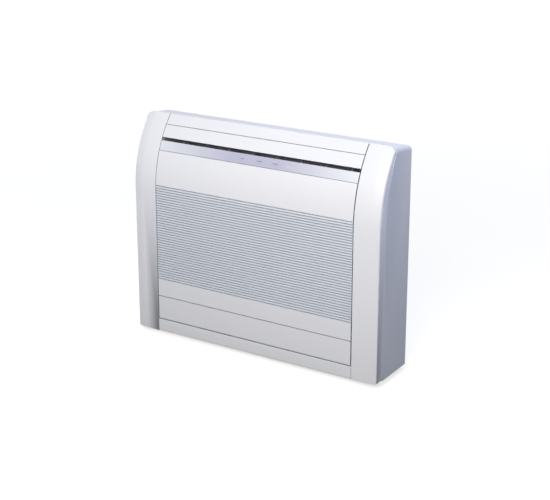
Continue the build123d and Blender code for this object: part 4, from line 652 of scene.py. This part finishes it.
# rolled aluminium, bright
fin_aluminium = metal("fin_aluminium", "#cfd3d8", "#b4bac2", roughness=0.35, speck_mm=6.0)
# drawn copper with a faint brown tarnish
tube_copper = metal("drawn_copper", "#c98157", "#a8623f", roughness=0.3, speck_mm=12.0)
# turned brass, bright yellow
nut_brass = metal("turned_brass", "#cfae62", "#b08e45", roughness=0.28, speck_mm=5.0)
# real fins are 0.1 mm thick and 1.5 mm apart; these are coarser, so that they show
FIN_PITCH = 0.0022
FIN_THICK = 0.0003
fin_low, fin_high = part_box("fin_pack")
fin_count = int((fin_high[0] - fin_low[0] - FIN_THICK) / FIN_PITCH) + 1
fin = extruded(
    "fin",
    [
        (0, fin_low[1], fin_low[2]),
        (0, fin_high[1], fin_low[2]),
        (0, fin_high[1], fin_high[2]),
        (0, fin_low[1], fin_high[2]),
    ],
    (0, 0, 0),
    (FIN_THICK, 0, 0),
)
fins = repeated(
    fin,
    fin_count,
    (fin_low[0], 0, 0),
    ((fin_high[0] - fin_low[0] - FIN_THICK) / (fin_count - 1), 0, 0),
    fin_aluminium,
)
placed(fins, "fin_pack")
for node in ("coil_bends", "gas_pipe", "liquid_pipe"):
    dressed(node, tube_copper, edge=0.0)
dressed("flare_nuts", nut_brass)
dressed("coil_end_plates", zinc_steel, edge=0.0003)


# ---------------------------------------------------------------- drain pan and small mouldings
# The drain pan under the coil, the room sensor's clip, the panel's catches, the terminal
# block, the cable clamp and the switch panel are moulded in pale grey plastic.

# pale grey moulded plastic, half matt, with a fine grain
pan_plastic = moulding("pale_grey_plastic", "#c9ccd0", roughness=0.5, grain_mm=0.8, depth_mm=0.02)
for node in ("drain_pan", "room_sensor", "panel_catches", "terminal_block", "cable_clamp"):
    dressed(node, pan_plastic)
dressed("switch_panel", pan_plastic)


# ---------------------------------------------------------------- filters
# Two air filters stand on the drain pan's rim and lift out. Each is a moulded frame with a
# fine woven net. Two small cleaning filters of five cells each lie on the coil behind them.

# blue-grey moulded plastic, dull
filter_plastic = moulding(
    "filter_grey_plastic",
    "#59606d",
    roughness=0.55,
    grain_mm=0.6,
    depth_mm=0.02,
)
# a real net's threads are about 1 mm apart; these are coarser, so that they show
NET_PITCH = 0.0022
NET_STRAND = 0.00045
NET_INSET = 0.002
for node in ("left_filter", "right_filter"):
    dressed(node, filter_plastic, edge=0.0003)
    low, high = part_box(node)
    net_y = (low[1] + high[1]) / 2
    strand = NET_STRAND / 2
    upright = extruded(
        "strand",
        [(-strand, -strand, 0), (strand, -strand, 0), (strand, strand, 0), (-strand, strand, 0)],
        (0, 0, low[2] + NET_INSET),
        (0, 0, high[2] - low[2] - 2 * NET_INSET),
    )
    level = extruded(
        "strand",
        [(0, -strand, -strand), (0, strand, -strand), (0, strand, strand), (0, -strand, strand)],
        (low[0] + NET_INSET, 0, 0),
        (high[0] - low[0] - 2 * NET_INSET, 0, 0),
    )
    across_count = int((high[0] - low[0] - 2 * NET_INSET) / NET_PITCH)
    up_count = int((high[2] - low[2] - 2 * NET_INSET) / NET_PITCH)
    uprights = repeated(
        upright,
        across_count,
        (low[0] + NET_INSET, net_y, 0),
        (NET_PITCH, 0, 0),
        filter_plastic,
    )
    levels = repeated(
        level,
        up_count,
        (0, net_y, low[2] + NET_INSET),
        (0, 0, NET_PITCH),
        filter_plastic,
    )
    placed(joined(f"{node}_net", [uprights, levels]), node, stands_in=False)
dressed("cleaning_filters", filter_plastic, edge=0.0003)


# ---------------------------------------------------------------- vanes
# Eight upright vanes stand in the upper outlet on pins, and a tie bar turns them
# together. They are moulded in pale grey plastic.

VANE_COUNT = 8
# pale lilac-grey moulded plastic, half matt
vane_plastic = moulding(
    "vane_grey_plastic",
    "#bcbfce",
    roughness=0.48,
    grain_mm=0.6,
    depth_mm=0.02,
)
for number in range(1, VANE_COUNT + 1):
    dressed(f"vane_{number}", vane_plastic, edge=0.0002)
dressed("vane_tie_bar", vane_plastic, edge=0.0002)


# ---------------------------------------------------------------- control box and boards
# A folded box of zinc coated sheet with its cover stands on the right, with the control
# board in it; the display board hangs behind the silver bar. Both boards are glass laminate
# under green lacquer, and a row of small moulded parts is soldered to the control board.

for node in ("control_box", "control_box_cover"):
    dressed(node, zinc_steel, edge=0.0003)

# green solder lacquer over glass laminate: glossy, darker where copper lies under it
board_green = moulding(
    "lacquered_board",
    "#2c6a47",
    roughness=0.3,
    grain_mm=2.5,
    depth_mm=0.02,
    shade=0.8,
)
for node in ("control_board", "display_board"):
    dressed(node, board_green, edge=0.0002)

# black moulded plastic of the small parts, nearly smooth
chip_black = moulding(
    "chip_black_plastic",
    "#232428",
    roughness=0.42,
    grain_mm=0.8,
    depth_mm=0.004,
)
BOARD_THICK = 0.0016
CHIP_W = 0.005
CHIP_L = 0.008
CHIP_H = 0.0022
CHIP_STEP = 0.014
CHIP_COUNT = 9
CHIPS_AHEAD = 0.006  # the row stands this far in front of the board's middle
board_low, board_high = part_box("control_board")
chip_row_y = (board_low[1] + board_high[1]) / 2 - CHIPS_AHEAD
chip_row_z = (board_low[2] + board_high[2] - CHIP_STEP * (CHIP_COUNT - 1)) / 2
chip = extruded(
    "chip",
    [
        (0, -CHIP_W / 2, -CHIP_L / 2),
        (0, CHIP_W / 2, -CHIP_L / 2),
        (0, CHIP_W / 2, CHIP_L / 2),
        (0, -CHIP_W / 2, CHIP_L / 2),
    ],
    (0, 0, 0),
    (CHIP_H, 0, 0),
)
chips = repeated(
    chip,
    CHIP_COUNT,
    (board_low[0] + BOARD_THICK, chip_row_y, chip_row_z),
    (0, 0, CHIP_STEP),
    chip_black,
)
placed(chips, "control_board", stands_in=False)


# ---------------------------------------------------------------- button and slide
# Behind the intake panel, a round button starts the unit by hand and a slide picks the
# outlets. Both are grey plastic and sit in the pale switch panel.

# grey moulded plastic, smooth and half glossy
button_plastic = moulding(
    "button_grey_plastic",
    "#8b8f98",
    roughness=0.32,
    grain_mm=1.2,
    depth_mm=0.005,
)
for node in ("manual_button", "outlet_switch"):
    dressed(node, button_plastic, edge=0.0003)


# ---------------------------------------------------------------- display bar
# A thin bar under the upper outlet, painted silver. Its colour goes from pale at both ends
# to a deeper grey-lilac in the middle: a painted sheen with painted shade along the bar.
# Three lamp lenses, each with a short printed dash above it, and the window of the receiver are
# let into it.


PAINTED_SHADE_SPAN = (0.38, 0.62)  # shares of the bar's length between which the painted shade is deepest
# paint flakes are some hundredths of a millimetre; they are coarser here, so that they show
FLAKE_MM = 0.35
FLAKE_RELIEF = 0.00001


def silver_with_painted_sheen(name, pale, deep, half_width):
    """Silver paint with painted light: a pale painted sheen at the bar's ends and painted shade
    deepening towards its middle.
    """
    material, tree, surface = new_material(name)
    place = add_node(tree, "ShaderNodeTexCoord").outputs["Object"]
    side = add_node(tree, "ShaderNodeSeparateXYZ", {"Vector": place}).outputs["X"]
    share = add_node(
        tree,
        "ShaderNodeMapRange",
        {"Value": side, "From Min": -half_width, "From Max": half_width},
    )
    ramp = add_node(tree, "ShaderNodeValToRGB", {"Fac": share.outputs["Result"]})
    ends = ramp.color_ramp.elements
    ends[0].color = linear(pale)
    ends[1].color = linear(pale)
    for position in PAINTED_SHADE_SPAN:
        ends.new(position).color = linear(deep)
    flakes = add_node(
        tree, "ShaderNodeTexNoise", {"Vector": place, "Scale": 1000 / FLAKE_MM, "Detail": 1.0}
    )
    bump = add_node(
        tree,
        "ShaderNodeBump",
        {"Height": flakes.outputs["Fac"], "Distance": FLAKE_RELIEF, "Strength": 0.3},
    )
    shader = add_node(
        tree,
        "ShaderNodeBsdfPrincipled",
        {
            "Base Color": ramp.outputs["Color"],
            "Metallic": 0.1,
            "Roughness": 0.6,
            "Normal": bump.outputs["Normal"],
        },
    )
    tree.links.new(shader.outputs["BSDF"], surface)
    return material


# silver paint, satin; a painted sheen at the ends and grey-lilac painted shade in the middle
bar_silver = silver_with_painted_sheen("bar_silver_painted_sheen", "#e2e5ea", "#b9bacd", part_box("display_bar")[1][0])
dressed("display_bar", bar_silver, edge=0.0003)

# milky lilac-grey lens plastic, polished
lens_milky = moulding("lamp_lens_plastic", "#c3c6d4", roughness=0.15, grain_mm=2.0, depth_mm=0.001)
dressed("lamp_lenses", lens_milky, edge=0.0002)
# lightly smoked lilac window plastic, polished
window_smoked = moulding(
    "smoked_window_plastic",
    "#cfd0de",
    roughness=0.12,
    grain_mm=4.0,
    depth_mm=0.001,
)
dressed("receiver_window", window_smoked, edge=0.0002)

# the front's face is upright up to FACE_FOOT_Z and leans back in an arc above it
FACE_R = 0.300
FACE_Y = cad_size[0][1]
LEAN_H = 0.196
FACE_FOOT_Z = cad_size[1][2] - LEAN_H


def face_y(z):
    """Depth coordinate of the leaning face at a height above the arc's foot."""
    return FACE_Y + FACE_R - math.sqrt(FACE_R**2 - (z - FACE_FOOT_Z) ** 2)


# slate grey printing ink, dull
print_ink = moulding("printing_ink", "#7d7f93", roughness=0.5, grain_mm=1.0, depth_mm=0.001)
LAMP_XS = (-0.038, 0.013, 0.060)
DASH_LENGTHS = (0.009, 0.016, 0.015)
DASH_H = 0.0018
DASH_RISE = 0.0028  # above the lamps
INK_PROUD = 0.00006
INK_SUNK = 0.0004
dash_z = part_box("lamp_lenses")[1][2] + DASH_RISE
dashes = []
for lamp_x, dash_l in zip(LAMP_XS, DASH_LENGTHS):
    dash = extruded(
        "dash",
        [
            (0, face_y(dash_z) - INK_PROUD, dash_z),
            (0, face_y(dash_z + DASH_H) - INK_PROUD, dash_z + DASH_H),
            (0, face_y(dash_z + DASH_H) + INK_SUNK, dash_z + DASH_H),
            (0, face_y(dash_z) + INK_SUNK, dash_z),
        ],
        (lamp_x - dash_l / 2, 0, 0),
        (dash_l, 0, 0),
    )
    dash.data.materials.append(print_ink)
    dashes.append(dash)
placed(joined("printed_dashes", dashes), "display_bar", stands_in=False)


# ---------------------------------------------------------------- front mouldings
# The two columns, the bottom rail, the top panel, both flaps and the intake panel are
# moulded in satin white plastic and snap to the chassis. The panel's slots are moulded
# through, each with a louvre behind it. Faces that lie deeper behind the front's face, in
# the slots and in the seams, are painted blue-grey as painted shade.

SHADE_REACH = 0.0007  # faces deeper than this behind the front's face get the painted shade
SEAM_REACH = 0.004  # how far beside the intake panel the columns' seam faces with painted shade lie
SEAM_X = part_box("intake_panel")[1][0] + SEAM_REACH


def behind_face(y, z):
    """Depth of a point behind the front's face."""
    if z < FACE_FOOT_Z:
        return y - FACE_Y
    return FACE_R - math.hypot(y - FACE_Y - FACE_R, z - FACE_FOOT_Z)


def shade_painted_in_recesses(piece, shade_finish, seams_only=False):
    """Gives the painted shade to the faces that lie deeper behind the front's face, or only to
    those in the seams.
    """
    piece.data.materials.append(shade_finish)
    for face in piece.data.polygons:
        x, y, z = face.center
        if behind_face(y, z) > SHADE_REACH and not (seams_only and abs(x) > SEAM_X):
            face.material_index = 1


# satin white paint, barely grained
front_white = moulding(
    "satin_white_coat",
    "#eff0f2",
    roughness=0.46,
    grain_mm=0.7,
    depth_mm=0.006,
    shade=0.985,
)
# painted shade: a dull blue-grey on the faces deep in the seams and slots, where shade falls
painted_shade_grey = moulding(
    "seam_painted_shade_blue_grey",
    "#c3cfde",
    roughness=0.55,
    grain_mm=0.7,
    depth_mm=0.01,
)
# the columns' double curve keeps all its faces, and their part lines stay sharp
# their seam faces beside the intake panel get the blue-grey painted shade
for node in ("left_column", "right_column"):
    shade_painted_in_recesses(dressed(node, front_white, edge=0.0, flat=0.02), painted_shade_grey, seams_only=True)
# faces deep behind the front's face, in seams and slots, get the blue-grey painted shade
for node in ("bottom_rail", "lower_flap"):
    shade_painted_in_recesses(dressed(node, front_white, edge=0.0005), painted_shade_grey)
for node in ("top_panel", "upper_flap"):
    dressed(node, front_white, edge=0.0005)
shade_painted_in_recesses(dressed("intake_panel", front_white, edge=0.0003), painted_shade_grey)


# ---------------------------------------------------------------- side cases and top cover
# The casing behind the columns: two side cases with rounded rear edges and the top cover
# between them, moulded in white plastic. The side cases' front ends lie against the columns;
# their forward faces carry blue-grey painted shade for the part line.

FRONT_FACING = -0.3  # a face looks forwards when its normal's Y is below this

# white casing plastic, satin, with a fine grain
case_white = moulding(
    "casing_white_plastic",
    "#e8e9ed",
    roughness=0.45,
    grain_mm=0.9,
    depth_mm=0.012,
    shade=0.985,
)
dressed("top_cover", case_white)
# the side cases' forward faces get the blue-grey painted shade of the part line
for node in ("left_side_case", "right_side_case"):
    case = dressed(node, case_white)
    case.data.materials.append(painted_shade_grey)
    for face in case.data.polygons:
        if face.normal.y < FRONT_FACING:
            face.material_index = 1


# ---------------------------------------------------------------- floor, lamps and camera
# A white studio: a pale floor that keeps the shadow, one large soft lamp in front, weaker
# ones above and at the right, and a pale blue surround that fills the sides.


def seen_path(tree):
    """1 for what the camera sees, straight, mirrored or through a clear piece."""
    path = add_node(tree, "ShaderNodeLightPath").outputs
    total = path["Is Camera Ray"]
    for kind in ("Is Glossy Ray", "Is Transmission Ray"):
        total = add_node(
            tree, "ShaderNodeMath", {0: total, 1: path[kind]}, operation="ADD", use_clamp=True
        ).outputs["Value"]
    return total


FLOOR_HALF = 12.0
# the light that the floor throws back is darkest up to FLOOR_DARK from the middle
FLOOR_DARK = 0.45
FLOOR_PALE = 2.2
# what the camera sees of the floor glows more from GLOW_NEAR out to GLOW_FAR
GLOW_NEAR = 1.2
GLOW_FAR = 4.0
floor = new_piece(
    "floor",
    [
        (-FLOOR_HALF, -FLOOR_HALF, 0),
        (FLOOR_HALF, -FLOOR_HALF, 0),
        (FLOOR_HALF, FLOOR_HALF, 0),
        (-FLOOR_HALF, FLOOR_HALF, 0),
    ],
    [(0, 1, 2, 3)],
)
# matt studio floor; to the camera it is pale and glows, so that it joins the white surround
floor_white, floor_tree, floor_surface = new_material("studio_floor")
floor_seen = seen_path(floor_tree)
floor_place = add_node(floor_tree, "ShaderNodeTexCoord").outputs["Object"]
floor_reach = add_node(
    floor_tree, "ShaderNodeVectorMath", {0: floor_place}, operation="LENGTH"
).outputs["Value"]
floor_share = add_node(
    floor_tree,
    "ShaderNodeMapRange",
    {"Value": floor_reach, "From Min": FLOOR_DARK, "From Max": FLOOR_PALE},
).outputs["Result"]
floor_tone = add_node(
    floor_tree,
    "ShaderNodeMix",
    {"Factor": floor_share, MIX_FIRST: linear("#2c2d3a"), MIX_SECOND: linear("#b4bcd2")},
    data_type="RGBA",
)
floor_matt = add_node(
    floor_tree, "ShaderNodeBsdfDiffuse", {"Color": floor_tone.outputs[MIX_RESULT]}
)
floor_plain = add_node(floor_tree, "ShaderNodeBsdfDiffuse", {"Color": linear("#cdc8bd")})
glow_level = add_node(
    floor_tree,
    "ShaderNodeMapRange",
    {
        "Value": floor_reach,
        "From Min": GLOW_NEAR,
        "From Max": GLOW_FAR,
        "To Min": 0.71,
        "To Max": 0.96,
    },
).outputs["Result"]
floor_glow = add_node(
    floor_tree, "ShaderNodeEmission", {"Color": linear("#ffffff"), "Strength": glow_level}
)
floor_bright = add_node(
    floor_tree,
    "ShaderNodeAddShader",
    {0: floor_plain.outputs["BSDF"], 1: floor_glow.outputs["Emission"]},
)
floor_mix = add_node(
    floor_tree,
    "ShaderNodeMixShader",
    {
        0: floor_seen,
        1: floor_matt.outputs["BSDF"],
        2: floor_bright.outputs["Shader"],
    },
)
floor_tree.links.new(floor_mix.outputs["Shader"], floor_surface)
floor.data.materials.append(floor_white)

world = bpy.data.worlds.new("studio_surround")
bpy.context.scene.world = world
world.use_nodes = True
sky = world.node_tree
sky.nodes.clear()
sky_seen = seen_path(sky)
sky_light = add_node(
    sky, "ShaderNodeBackground", {"Color": linear("#cfdcf8"), "Strength": 0.35}
)
sky_white = add_node(sky, "ShaderNodeBackground", {"Color": linear("#ffffff"), "Strength": 1.0})
sky_mix = add_node(
    sky,
    "ShaderNodeMixShader",
    {
        0: sky_seen,
        1: sky_light.outputs["Background"],
        2: sky_white.outputs["Background"],
    },
)
sky_out = sky.nodes.new("ShaderNodeOutputWorld")
sky.links.new(sky_mix.outputs["Shader"], sky_out.inputs["Surface"])


def soft_lamp(name, place, aim, size, power, colour):
    """A rectangular lamp of a width and height at a place, turned towards a point."""
    lamp = bpy.data.lights.new(name, "AREA")
    lamp.shape = "RECTANGLE"
    lamp.size = size[0]
    lamp.size_y = size[1]
    lamp.energy = power
    lamp.color = linear(colour)[:3]
    holder = bpy.data.objects.new(name, lamp)
    bpy.context.collection.objects.link(holder)
    holder.location = place
    run = [aim[i] - place[i] for i in range(3)]
    flat = math.hypot(run[0], run[1])
    holder.rotation_euler = (
        math.pi / 2 + math.atan2(run[2], flat),
        0,
        math.atan2(-run[0], run[1]),
    )


soft_lamp(
    "key_lamp",
    place=(0.35, -1.75, 1.45),
    aim=(0, -0.1, 0.4),
    size=(1.5, 0.9),
    power=34.5,
    colour="#fffaf2",
)
soft_lamp(
    "top_lamp",
    place=(0.1, 0.7, 1.9),
    aim=(0, 0, 0.6),
    size=(1.6, 0.8),
    power=7.5,
    colour="#eef3ff",
)
soft_lamp(
    "side_lamp",
    place=(0.85, 0.1, 1.15),
    aim=(0.37, 0, 0.5),
    size=(0.3, 0.3),
    power=1.4,
    colour="#c9d4ff",
)

# the camera stands where the photograph's edges put it
CAMERA_PLACE = (1.6980, -2.6565, 1.3552)
LOOKS_DOWN = math.radians(17.03)
LOOKS_LEFT = math.radians(32.41)
camera_data = bpy.data.cameras.new("photo_camera")
camera_data.lens = 84.15
camera_data.sensor_width = 36.0
camera_data.shift_y = -0.0818
camera = bpy.data.objects.new("photo_camera", camera_data)
bpy.context.collection.objects.link(camera)
camera.location = CAMERA_PLACE
camera.rotation_euler = (math.pi / 2 - LOOKS_DOWN, 0, LOOKS_LEFT)
bpy.context.scene.camera = camera
bpy.context.scene.view_settings.view_transform = "Standard"
